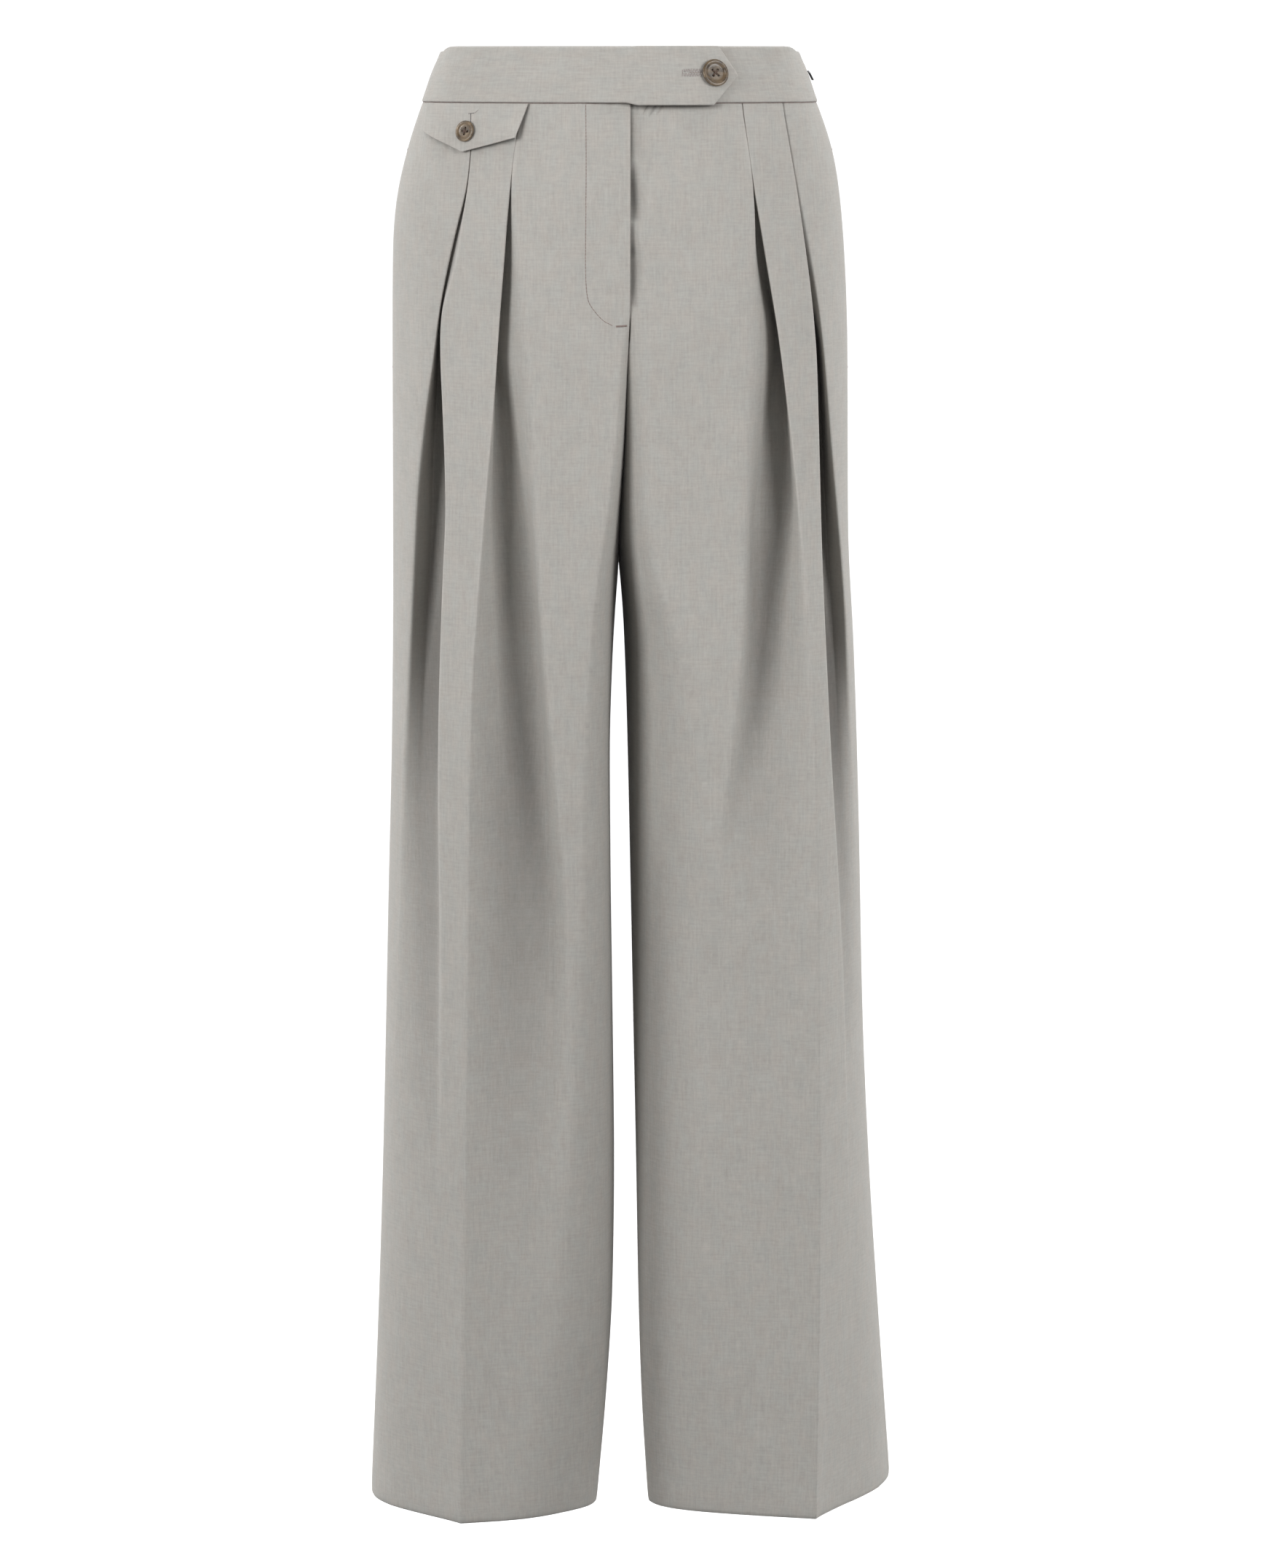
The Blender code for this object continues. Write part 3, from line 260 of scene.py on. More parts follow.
# Front of each leg. seam: reach of the front middle or crotch seam, or of the inseam below the fork.
# shoulder: how far outside that seam the panel has come fully forward, its reach, its direction there.
# crease: the pressed crease, which is the inner pleat's edge, its reach, the directions either side.
PANEL_COLUMNS = "z seam shoulder shoulder_reach shoulder_turn crease crease_reach crease_in crease_out"
FRONT = {
    RIGHT: table(
        PANEL_COLUMNS,
        (0.020, 0.0880, 0.014, 0.0880, 2, 0.0690, 0.0745, 24, 24),
        (-0.020, 0.0960, 0.014, 0.0960, 2, 0.0713, 0.0830, 24, 24),
        (-0.080, 0.1040, 0.014, 0.1040, 2, 0.0791, 0.0905, 24, 24),
        (-0.128, 0.1085, 0.014, 0.1085, 2, 0.0832, 0.0960, 23, 23),
        (-0.170, 0.1110, 0.010, 0.1110, 2, 0.0864, 0.0990, 22, 24),
        (-0.205, 0.1040, 0.006, 0.1125, 2, 0.0887, 0.1015, 20, 25),
        (-0.259, 0.0890, 0.007, 0.1140, 1, 0.0925, 0.1055, 17, 27),
        (-0.312, 0.0660, 0.009, 0.1150, 0, 0.0975, 0.1090, 12, 30),
        (-0.345, 0.0340, 0.012, 0.1150, -1, 0.1003, 0.1110, 8, 32),
        (FORK, -0.0020, 0.014, 0.1148, -2, 0.1014, 0.1118, 6, 33),
        (-0.418, -0.0020, 0.016, 0.1125, -7, 0.1058, 0.1145, 1, 35),
        (-0.498, 0.0040, 0.018, 0.1090, -12, 0.1093, 0.1160, -4, 37),
        (-0.650, 0.0160, 0.022, 0.1015, -20, 0.1115, 0.1150, -8, 40),
        (-0.850, 0.0280, 0.027, 0.0910, -29, 0.1145, 0.1110, -11, 43),
        (HEM, 0.0380, 0.030, 0.0800, -38, 0.1181, 0.1070, -13, 45),
    ),
    LEFT: table(
        PANEL_COLUMNS,
        (0.020, 0.0880, 0.014, 0.0880, 2, 0.0750, 0.0720, 25, 25),
        (-0.020, 0.0960, 0.014, 0.0960, 2, 0.0888, 0.0765, 29, 29),
        (-0.080, 0.1040, 0.014, 0.1040, 2, 0.0973, 0.0850, 29, 29),
        (-0.128, 0.1085, 0.014, 0.1085, 2, 0.1055, 0.0885, 28, 29),
        (-0.170, 0.1110, 0.014, 0.1110, 2, 0.1125, 0.0905, 27, 30),
        (-0.205, 0.1040, 0.016, 0.1120, 2, 0.1177, 0.0920, 25, 31),
        (-0.259, 0.0890, 0.020, 0.1130, 2, 0.1237, 0.0950, 22, 33),
        (-0.312, 0.0660, 0.024, 0.1135, 1, 0.1287, 0.0985, 18, 36),
        (-0.345, 0.0340, 0.027, 0.1135, 1, 0.1316, 0.1005, 14, 38),
        (FORK, -0.0020, 0.028, 0.1135, 0, 0.1329, 0.1015, 12, 39),
        (-0.418, 0.0000, 0.044, 0.1135, -1, 0.1379, 0.1060, 6, 42),
        (-0.525, 0.0120, 0.058, 0.1115, -4, 0.1428, 0.1090, -1, 47),
        (-0.650, 0.0240, 0.062, 0.1075, -7, 0.1455, 0.1095, -6, 52),
        (-0.850, 0.0400, 0.052, 0.1005, -11, 0.1470, 0.1085, -10, 58),
        (HEM, 0.0500, 0.044, 0.0880, -17, 0.1453, 0.1070, -12, 64),
    ),
}
# Where the seams lie short of the innermost and outermost places, as a share of the arc beside them
INSEAM_SHARE = table("z share", (FORK, 0.0), (-0.500, 0.08), (HEM, 0.10))
SIDE_SHARE = {
    RIGHT: table("z share", (0.020, 0.0), (HEM, 0.0)),
    LEFT: table("z share", (-0.600, 0.0), (-0.850, 0.14), (HEM, 0.16)),
}
# A pleat, at each height: edge, the x of its pressed edge; soft, the x where the neighbouring panel
# starts to roll into it; bottom, how far past the edge its inmost fold lies (negative: the pleat stands
# open, and its lowest place lies that far before the edge); depth; how widely the edge is rounded; and
# how wide an open pleat's flat floor is, as a share of its width
PLEAT_COLUMNS = "z edge soft bottom depth round floor"
INNER_PLEAT = {
    RIGHT: table(
        PLEAT_COLUMNS,
        (-0.020, 0.0713, 0.0702, 0.0120, 0.0035, 0.0006, 0.35),
        (-0.080, 0.0791, 0.0780, 0.0120, 0.0035, 0.0006, 0.35),
        (-0.104, 0.0815, 0.0770, 0.0110, 0.0070, 0.0008, 0.36),
        (-0.136, 0.0838, 0.0748, 0.0090, 0.0120, 0.0009, 0.40),
        (-0.171, 0.0864, 0.0722, 0.0060, 0.0165, 0.0009, 0.46),
        (-0.203, 0.0885, 0.0692, 0.0010, 0.0200, 0.0010, 0.50),
        (-0.245, 0.0914, 0.0650, -0.0080, 0.0250, 0.0011, 0.50),
        (-0.300, 0.0962, 0.0624, -0.0160, 0.0290, 0.0012, 0.52),
        (-0.334, 0.0990, 0.0604, -0.0210, 0.0310, 0.0013, 0.54),
        (-0.377, 0.1024, 0.0580, -0.0270, 0.0320, 0.0014, 0.54),
        (-0.417, 0.1057, 0.0555, -0.0325, 0.0315, 0.0015, 0.52),
        (-0.470, 0.1083, 0.0510, -0.0370, 0.0290, 0.0017, 0.46),
        (-0.524, 0.1100, 0.0460, -0.0400, 0.0250, 0.0020, 0.40),
        (-0.631, 0.1113, 0.0380, -0.0420, 0.0170, 0.0020, 0.38),
        (-0.740, 0.1126, 0.0360, -0.0400, 0.0085, 0.0020, 0.38),
        (-0.850, 0.1145, 0.0420, -0.0360, 0.0030, 0.0020, 0.37),
        (HEM, 0.1181, 0.0720, -0.0260, 0.0000, 0.0020, 0.35),
    ),
    LEFT: table(
        PLEAT_COLUMNS,
        (-0.020, 0.0888, 0.0879, 0.0120, 0.0035, 0.0006, 0.35),
        (-0.080, 0.0973, 0.0964, 0.0120, 0.0035, 0.0006, 0.35),
        (-0.104, 0.1016, 0.0978, 0.0100, 0.0085, 0.0008, 0.36),
        (-0.142, 0.1080, 0.0982, 0.0050, 0.0170, 0.0009, 0.48),
        (-0.187, 0.1150, 0.0974, -0.0010, 0.0240, 0.0009, 0.60),
        (-0.230, 0.1206, 0.0955, -0.0080, 0.0285, 0.0010, 0.64),
        (-0.252, 0.1232, 0.0944, -0.0115, 0.0290, 0.0014, 0.65),
        (-0.297, 0.1275, 0.0925, -0.0165, 0.0290, 0.0030, 0.64),
        (-0.340, 0.1312, 0.0915, -0.0235, 0.0275, 0.0050, 0.50),
        (-0.384, 0.1350, 0.0905, -0.0305, 0.0245, 0.0070, 0.36),
        (-0.417, 0.1378, 0.0890, -0.0345, 0.0205, 0.0080, 0.32),
        (-0.480, 0.1412, 0.0830, -0.0395, 0.0130, 0.0060, 0.34),
        (-0.560, 0.1434, 0.0740, -0.0400, 0.0050, 0.0030, 0.39),
        (-0.640, 0.1453, 0.0760, -0.0400, 0.0012, 0.0020, 0.38),
        (HEM, 0.1453, 0.0760, -0.0400, 0.0000, 0.0020, 0.35),
    ),
}
OUTER_PLEAT = {
    RIGHT: table(
        PLEAT_COLUMNS,
        (-0.020, 0.1043, 0.1054, -0.0165, 0.0035, 0.0006, 0.35),
        (-0.080, 0.1095, 0.1106, -0.0165, 0.0035, 0.0006, 0.35),
        (-0.104, 0.1136, 0.1170, -0.0130, 0.0045, 0.0020, 0.35),
        (-0.130, 0.1180, 0.1232, -0.0100, 0.0055, 0.0035, 0.35),
        (-0.152, 0.1232, 0.1278, -0.0075, 0.0060, 0.0030, 0.35),
        (-0.168, 0.1286, 0.1306, -0.0030, 0.0080, 0.0016, 0.50),
        (-0.184, 0.1300, 0.1326, -0.0012, 0.0180, 0.0010, 0.80),
        (-0.206, 0.1298, 0.1352, -0.0022, 0.0300, 0.0010, 0.80),
        (-0.238, 0.1284, 0.1398, -0.0050, 0.0370, 0.0010, 0.84),
        (-0.311, 0.1262, 0.1480, -0.0095, 0.0390, 0.0012, 0.86),
        (-0.364, 0.1285, 0.1510, -0.0098, 0.0360, 0.0018, 0.86),
        (-0.417, 0.1305, 0.1540, -0.0102, 0.0310, 0.0026, 0.80),
        (-0.470, 0.1320, 0.1565, -0.0110, 0.0250, 0.0034, 0.70),
        (-0.524, 0.1325, 0.1590, -0.0125, 0.0190, 0.0040, 0.60),
        (-0.631, 0.1310, 0.1620, -0.0140, 0.0085, 0.0050, 0.50),
        (-0.740, 0.1310, 0.1660, -0.0160, 0.0025, 0.0060, 0.44),
        (-0.850, 0.1330, 0.1700, -0.0160, 0.0000, 0.0060, 0.41),
        (HEM, 0.1370, 0.1720, -0.0160, 0.0000, 0.0060, 0.36),
    ),
    LEFT: table(
        PLEAT_COLUMNS,
        (-0.020, 0.1175, 0.1187, 0.0100, 0.0035, 0.0006, 0.35),
        (-0.080, 0.1280, 0.1293, 0.0080, 0.0035, 0.0006, 0.35),
        (-0.104, 0.1318, 0.1338, 0.0010, 0.0090, 0.0008, 0.60),
        (-0.130, 0.1355, 0.1386, -0.0010, 0.0170, 0.0008, 0.80),
        (-0.162, 0.1396, 0.1438, -0.0016, 0.0250, 0.0009, 0.84),
        (-0.205, 0.1430, 0.1488, -0.0022, 0.0330, 0.0010, 0.86),
        (-0.252, 0.1445, 0.1526, -0.0034, 0.0390, 0.0010, 0.86),
        (-0.297, 0.1457, 0.1568, -0.0048, 0.0420, 0.0010, 0.86),
        (-0.340, 0.1469, 0.1612, -0.0060, 0.0410, 0.0012, 0.86),
        (-0.384, 0.1487, 0.1650, -0.0070, 0.0370, 0.0014, 0.86),
        (-0.417, 0.1503, 0.1668, -0.0072, 0.0320, 0.0018, 0.84),
        (-0.470, 0.1530, 0.1690, -0.0074, 0.0220, 0.0028, 0.70),
        (-0.524, 0.1562, 0.1715, -0.0072, 0.0130, 0.0040, 0.60),
        (-0.580, 0.1600, 0.1740, -0.0070, 0.0060, 0.0050, 0.50),
        (-0.660, 0.1640, 0.1770, -0.0080, 0.0015, 0.0060, 0.46),
        (HEM, 0.1760, 0.1960, -0.0080, 0.0000, 0.0060, 0.36),
    ),
}
FOLD = 0.00175  # distance between the layers of a stitched pleat, middle to middle
SOFT_ROUND = 0.008  # most that a pleat's soft side is rounded
STEEP_SHARE = 0.25  # how much wider the fold is where a pleat's layers stand square to the panel
SOFT_SHARE = 0.80  # how far down and across a soft side's slope leads
PLEAT_CORNERS = (7, 7, 6, 6, 7, 9)  # points on the rounded corners of a pleat, from its soft side
BETWEEN_CORNERS = 2  # and on each straight run between them
LEAST_RUN = 0.0015  # a curve's run at a point is taken over at least this length either side


def heading(degrees):
    """A direction of travel away from the middle, turned this much back towards the side."""
    return np.array([math.cos(math.radians(degrees)), -math.sin(math.radians(degrees))])


def arc(start, end, leave, arrive):
    """A smooth plan arc between two places that leaves and arrives in the given directions."""
    turn = math.acos(min(1.0, max(0.0, float(leave @ arrive)))) / (math.pi / 2)
    pull = ARC_PULL + ARC_PULL_TURNED * turn
    first = start + pull * abs(float((end - start) @ leave)) * leave
    second = end - pull * abs(float((end - start) @ arrive)) * arrive
    t = np.linspace(0.0, 1.0, ARC_STEPS)[:, None]
    return ((1 - t) ** 3 * start + 3 * t * (1 - t) ** 2 * first + 3 * t * t * (1 - t) * second
            + t ** 3 * end)


def inside(side, z, sizes):
    """How far from the middle a panel starts, at its front, back or crotch seam or at its inseam."""
    if z < FORK:
        return smooth(LEG_INSIDE[side], "x", z)
    if sizes is not FRONT[side]:
        groove = smooth(sizes, "shoulder_reach", z) - smooth(sizes, "seam", z)
        lap = SEAT_LAP if side == LEFT else 0.0
        return min(1.0, groove / 0.003) * (smooth(LEG_INSIDE[side], "x", FORK) - lap)
    meeting = smooth(MEETING, "x", z)
    return -meeting if side == RIGHT else meeting - smooth(FLY_LAP, "lap", z)


def half_section(side, z, sizes):
    """Three arcs from the inner seam to the silhouette: to the shoulder, to the crease, to the side."""
    seam = np.array([inside(side, z, sizes), smooth(sizes, "seam", z)])
    shoulder = np.array([seam[0] + smooth(sizes, "shoulder", z), smooth(sizes, "shoulder_reach", z)])
    crease = np.array([smooth(sizes, "crease", z), smooth(sizes, "crease_reach", z)])
    facing = -1.0 if sizes is FRONT[side] else 1.0
    silhouette = np.array([smooth(SIDE[side], "x", z), facing * smooth(SIDE[side], "y", z)])
    turned_in = min(1.0, max(0.0, (shoulder[1] - seam[1]) / 0.006))
    shoulder_turn = heading(smooth(sizes, "shoulder_turn", z))
    return (
        arc(seam, shoulder, heading(-90 * turned_in), shoulder_turn),
        arc(shoulder, crease, shoulder_turn, heading(smooth(sizes, "crease_in", z))),
        arc(crease, silhouette, heading(smooth(sizes, "crease_out", z)), heading(90)),
    )


class Curve:
    """A plan curve that is read by the distance along it, with an offset towards its inner side."""

    def __init__(self, points):
        self.points = np.array(points)
        steps = np.linalg.norm(np.diff(self.points, axis=0), axis=1)
        self.points = self.points[np.concatenate([[True], steps > 1e-7])]
        steps = np.linalg.norm(np.diff(self.points, axis=0), axis=1)
        self.along = np.concatenate([[0.0], np.cumsum(steps)])
        self.length = self.along[-1]
        self.first_way = (self.points[1] - self.points[0]) / steps[0]
        self.last_way = (self.points[-1] - self.points[-2]) / steps[-1]

    def at(self, s):
        s = np.asarray(s, float)
        inner = np.stack([np.interp(s, self.along, self.points[:, i]) for i in (0, 1)], axis=-1)
        before = np.minimum(s, 0.0)[..., None] * self.first_way
        after = np.maximum(s - self.length, 0.0)[..., None] * self.last_way
        return inner + before + after

    def place(self, s, inward=0.0, straight=0.0):
        """The points at distances s, moved inward square to the run of the curve around them.

        The deeper a point lies, the longer that run, so that a bend doesn't pinch what lies under it.
        Where straight is 1 a point moves straight back from the front instead.
        """
        s, inward = np.asarray(s, float), np.asarray(inward, float) + np.zeros_like(s)
        straight = (np.asarray(straight, float) + np.zeros_like(s))[..., None]
        reach = LEAST_RUN + np.abs(inward)
        travel = self.at(s + reach) - self.at(s - reach)
        travel /= np.linalg.norm(travel, axis=-1, keepdims=True)
        square = np.stack([travel[..., 1], -travel[..., 0]], axis=-1)
        way = (1 - straight) * square + straight * np.array([0.0, -1.0])
        return self.at(s) + inward[..., None] * way / np.linalg.norm(way, axis=-1, keepdims=True)

    def where_x(self, x, after=0.0):
        """The distance at which the curve, on its way out to the side, comes to this x."""
        rising = (self.along >= after) & (np.arange(len(self.along)) <= np.argmax(self.points[:, 0]))
        return float(np.interp(x, self.points[rising, 0], self.along[rising]))


def front_curve(side, z):
    """The front's level curve without its pleats, and the distances to its start, shoulder and end."""
    to_shoulder, to_crease, to_side = half_section(side, z, FRONT[side])
    whole = Curve(np.vstack([to_shoulder, to_crease, to_side]))
    first = Curve(to_shoulder).length
    start = smooth(INSEAM_SHARE, "share", z) * first if z < FORK else 0.0
    end = whole.length - smooth(SIDE_SHARE[side], "share", z) * Curve(to_side).length
    return whole, start + SEAM_GAP, first, end - SEAM_GAP


def rounded(corners, cuts, counts):
    """The points of a path whose corners are cut back and rounded, with more on the runs between."""
    path = []
    for i, (cut, count) in enumerate(zip(cuts, counts), start=1):
        corner, before, after = corners[i], corners[i - 1], corners[i + 1]
        to_before, to_after = before - corner, after - corner
        back = min(cut, 0.45 * np.linalg.norm(to_before)) / max(np.linalg.norm(to_before), 1e-9)
        on = min(cut, 0.45 * np.linalg.norm(to_after)) / max(np.linalg.norm(to_after), 1e-9)
        bend = [(1 - t) ** 2 * (corner + back * to_before) + 2 * t * (1 - t) * corner
                + t * t * (corner + on * to_after) for t in np.linspace(0.0, 1.0, count)]
        if path:
            runs = np.linspace(0.0, 1.0, BETWEEN_CORNERS + 2)[1:-1]
            path += [path[-1] * (1 - t) + bend[0] * t for t in runs]
        path += bend
    return path


def pleat_path(soft, edge, bottom, depth, edge_round, flat_floor):
    """A pleat as points of (distance across, depth), from its soft side to its edge."""
    fold = min(depth / 2, FOLD)
    middle, half = (soft + edge) / 2, max(abs(edge - soft) / 2, 0.001)
    lean = min(1.0, max(-1.0, (bottom - middle) / half))
    under_edge = 0.5 + 0.5 * lean
    low = np.array([bottom, depth])
    mouth = np.array([min(max(bottom, soft), edge) - bottom, -max(depth, 1e-6)])
    mouth /= np.linalg.norm(mouth)
    floor = fold * (1 - STEEP_SHARE * mouth[1]) + (1 - abs(lean)) * flat_floor * abs(edge - soft)
    turn = floor * np.array([-mouth[1], mouth[0]])
    low_soft, low_edge = low - (1 - under_edge) * turn, low + under_edge * turn
    top_soft, top_edge = np.array([soft, 0.0]), np.array([edge, 0.0])

    def below(top, other, low_side, weight, towards):
        """The corner under one side: straight below a crisp edge, or far down a soft one."""
        reach = min(max(towards * (low_side[0] - top[0]), 0.0), towards * (other[0] - top[0]))
        soft_corner = top + np.array([towards * SOFT_SHARE * reach, SOFT_SHARE * depth])
        if towards * (low_side[0] - other[0]) > 0:
            soft_corner[1] = depth * (0.75 + 0.25 * min(1.0, abs(low_side[0] - other[0]) / 0.008))
        away = low_side - top
        crisp = away / max(np.linalg.norm(away), 1e-9)
        if towards * away[0] < 0:
            crisp = np.array([0.0, 1.0])
        return (1 - weight) * (top + fold * crisp) + weight * soft_corner

    under_soft = below(top_soft, top_edge, low_soft, under_edge, 1.0)
    under_crisp = below(top_edge, top_soft, low_edge, 1 - under_edge, -1.0)
    soft_round = 0.0008 + under_edge * min(0.5 * abs(edge - soft), SOFT_ROUND)
    crisp_round = edge_round + (1 - under_edge) * 0.06 * abs(edge - soft)
    low_round = 0.0009 + (1 - abs(lean)) * 0.18 * abs(edge - soft)
    before = top_soft - np.array([soft_round + 0.0005, 0.0])
    after = top_edge + np.array([crisp_round + 0.0005, 0.0])
    corners = [before, top_soft, under_soft, low_soft, low_edge, under_crisp, top_edge, after]
    cuts = [soft_round, max(soft_round, low_round), low_round, low_round, edge_round, crisp_round]
    return rounded(corners, cuts, PLEAT_CORNERS)


def pleat_on(curve, first, sizes, z, outward):
    """A pleat's points on a panel's curve. An outer pleat is the inner one turned round."""
    edge = curve.where_x(smooth(sizes, "edge", z), first)
    soft = curve.where_x(smooth(sizes, "soft", z), first)
    turn = 1.0 if outward else -1.0
    path = pleat_path(turn * soft, turn * edge, turn * edge + smooth(sizes, "bottom", z),
                      smooth(sizes, "depth", z), smooth(sizes, "round", z), smooth(sizes, "floor", z))
    path = [(turn * point[0], point[1]) for point in path]
    return path if outward else path[::-1]


def ease(t):
    """A soft step from 0 to 1."""
    t = np.clip(t, 0.0, 1.0)
    return t * t * (3 - 2 * t)


TO_SHOULDER, TO_PLEAT, ON_STRIP, TO_SIDE = 22, 40, 12, 20  # points between a front's named places
# A seam's turned edge, from inside round to the face: (distance from the seam, depth)
TURNED_EDGE = ((0.0095, 0.0012), (0.0050, 0.0012), (0.0012, 0.0012), (0.0004, 0.0010), (0.0, 0.0006),
               (0.0001, 0.0003), (0.0005, 0.0))
# A hem, turned up inside, and the top edge, turned in to the waist seam: (distance past the edge, depth)
TURNED_HEM = ((0.0004, 0.0), (0.0, 0.0003), (-0.0001, 0.0007), (0.0001, 0.0012), (0.0008, 0.0015),
              (0.0100, 0.0016), (0.0380, 0.0017))
TURNED_TOP = ((-0.0050, 0.0008), (-0.0022, 0.0009), (-0.0010, 0.0008), (-0.0002, 0.0005), (0.0006, 0.0002),
              (0.0016, 0.0))
WEAVE_LINE = 0.050  # the weave is laid true to a line this far from the front middle


def turned(start, end, path):
    """Adds the turned edges to a row of points: the seam allowances inside.

    A point is a distance along the curve, a depth, how far along the cloth itself it lies, whether its
    depth is measured straight back (1) or square to the curve (0), and how much painted shade its pleat
    gives it.
    """
    first = [(start + s, d, start + s - d, 0.0, 0.0) for s, d in TURNED_EDGE]
    last = [(end - s, d, end - s + d, 0.0, 0.0) for s, d in TURNED_EDGE[::-1]]
    kept = [point for point in path if start + 0.0010 < point[0] < end - 0.0010]
    return np.array(first + kept + last)


STRAIGHT_FROM, STRAIGHT_OVER = -0.110, 0.090  # below this height the pleats turn to hang straight back


# Painted shade: how much darker the cloth's colour is painted towards the bottom of each pleat, where it
# lies in the pleat's shade
PLEAT_SHADE = {
    RIGHT: table("z inner outer", (-0.230, 0.0, 0.1), (-0.300, 0.0, 0.25), (-0.364, 0.12, 0.50),
                 (-0.417, 0.20, 0.66), (-0.470, 0.40, 0.64), (-0.524, 0.52, 0.50), (-0.631, 0.40, 0.34),
                 (-0.740, 0.22, 0.14), (-0.850, 0.08, 0.0), (HEM, 0.0, 0.0)),
    LEFT: table("z inner outer", (-0.120, 0.05, 0.50), (-0.230, 0.18, 0.42), (-0.311, 0.22, 0.36),
                (-0.364, 0.48, 0.45), (-0.417, 0.50, 0.85), (-0.470, 0.30, 0.85), (-0.524, 0.18, 0.60),
                (-0.631, 0.05, 0.20), (-0.740, 0.0, 0.0), (HEM, 0.0, 0.0)),
}


def flat_run(low, high, count, power=1.0):
    """Flat points from one distance up to another, closer together at the far end if asked."""
    shares = np.linspace(0.0, 1.0, count, endpoint=False) ** power
    return [(s, 0.0, s, 0.0, 0.0) for s in low + (high - low) * shares]


def laid_pleat(points, z, shade):
    """A pleat's points with how far along the cloth they lie, measured from its nearer side."""
    points = np.array(points)
    straight = np.full(len(points), float(ease((STRAIGHT_FROM - z) / STRAIGHT_OVER)))
    run = np.concatenate([[0.0], np.cumsum(np.linalg.norm(np.diff(points, axis=0), axis=1))])
    nearer = np.arange(len(points)) < len(points) // 2
    laid = np.where(nearer, points[0, 0] + run, points[-1, 0] - run[-1] + run)
    # painted shade, darker the deeper a point lies in its pleat
    shaded = shade * (np.maximum(points[:, 1], 0.0) / max(points[:, 1].max(), 1e-6)) ** 1.7
    return [tuple(point) for point in np.column_stack([points, laid, straight, shaded])]


EDGE_BACK = 0.0010  # a pleat's pressed edge lies this far before the first flat point beside it
HIGHLIGHT_WIDTH = 0.0007  # a pressed edge gets a painted highlight over this width
HIGHLIGHT_DEPTH = 0.0012  # and where the cloth lies no deeper than this
HIGHLIGHT_FOOT, HIGHLIGHT_FADE = -0.460, 0.22  # it is gone at this height, having faded over this length
BETWEEN_LEGS = 0.36  # painted shade on the inside of the left leg, where the right leg shades it
BETWEEN_LEGS_AT, BETWEEN_LEGS_WIDTH, BETWEEN_LEGS_BELOW = 0.023, 0.012, 0.14


def front_path(side, z):
    """A front's row: its curve, its points of distance along it and depth, and their tone: painted
    highlight on pressed edges, painted shade in pleats and between the legs.
    """
    curve, start, shoulder, end = front_curve(side, z)
    inner = pleat_on(curve, shoulder, INNER_PLEAT[side], z, outward=True)
    outer = pleat_on(curve, shoulder, OUTER_PLEAT[side], z, outward=False)
    path = flat_run(start + 0.0012, shoulder, TO_SHOULDER)
    path += flat_run(shoulder, inner[0][0], TO_PLEAT, 1.35)
    path += laid_pleat(inner, z, smooth(PLEAT_SHADE[side], "inner", z))
    path += flat_run(inner[-1][0], outer[0][0], ON_STRIP + 1)[1:]
    path += laid_pleat(outer, z, smooth(PLEAT_SHADE[side], "outer", z))
    path += flat_run(outer[-1][0], end - 0.0012, TO_SIDE + 1)[1:]
    across = turned(start, end, path)
    edges = start, inner[-1][0] - EDGE_BACK, outer[0][0] + EDGE_BACK
    if side == LEFT:
        past = across[:, 0] - smooth(FLY_LAP, "lap", z) - smooth(FLY_LAP, "dip", z)
        across[:, 1] += smooth(FLY_LAP, "depth", z) * (1 - ease(past / smooth(FLY_LAP, "rise", z)))
    shown = (across[:, 1] < HIGHLIGHT_DEPTH + 0.01 * (side == LEFT))
    fades = float(ease((z - HIGHLIGHT_FOOT) / HIGHLIGHT_FADE))
    near = [np.exp(-((across[:, 0] - edge) / HIGHLIGHT_WIDTH) ** 2) for edge in edges]
    near[0] = near[0] * (side == RIGHT) * float(ease((z - FORK) / 0.02))
    deep = across[:, 4]
    if side == LEFT:
        # painted shade on the inside of the left leg, standing in for the right leg's shadow
        from_inside = curve.at(across[:, 0])[:, 0] - BETWEEN_LEGS_AT
        within = np.exp(-(from_inside / BETWEEN_LEGS_WIDTH) ** 2)
        below = float(ease((FORK - BETWEEN_LEGS_BELOW - z) / BETWEEN_LEGS_BELOW))
        deep = deep + BETWEEN_LEGS * below * within
    return curve, across, shown * (near[0] + fades * near[1] + fades * near[2]) - deep


def levels(side, spacing):
    """Heights of a panel's rows, with their own depth, from the turned top to the turned-up hem."""
    heights = [PANEL_TOP - TURNED_TOP[-1][0]]
    hem = HEM + HEM_RAISED[side]
    while heights[-1] > hem + 0.006:
        heights.append(heights[-1] - float(exact(spacing, "step", heights[-1])))
    rows = [(PANEL_TOP - s, d) for s, d in TURNED_TOP[:-1]]
    rows += [(z, 0.0) for z in heights if z > hem + 0.002]
    return rows + [(hem + s, d) for s, d in TURNED_HEM]


FRONT_SPACING = table("z step", (0.0, 0.0016), (-0.036, 0.0018), (-0.060, 0.0036), (-0.12, 0.0038),
                      (-0.36, 0.0048), (-0.60, 0.0072), (HEM, 0.0080))


CRISP = 0.75  # how much of its shape a pressed edge keeps as the cloth is evened out
EVENED_DOWN = 3


def evened(points, across, crisp=()):
    """Evens out a grid of points down and across, but across not at its turned edges, and less in the
    crisp spans of columns, so that pressed edges stay sharp."""
    keep = np.zeros(points.shape[1])
    keep[:len(TURNED_EDGE) + 1] = keep[-len(TURNED_EDGE) - 1:] = 1.0
    for first, last in crisp:
        keep[first:last] = CRISP
    weight = (1 - keep)[None, :, None]
    for _ in range(across):
        middle = (points[:, :-2] + points[:, 2:]) / 2 - points[:, 1:-1]
        points[:, 1:-1] += 0.5 * weight[:, 1:-1] * middle
    for _ in range(EVENED_DOWN):
        points[1:-1] += 0.5 * ((points[:-2] + points[2:]) / 2 - points[1:-1])
    return points


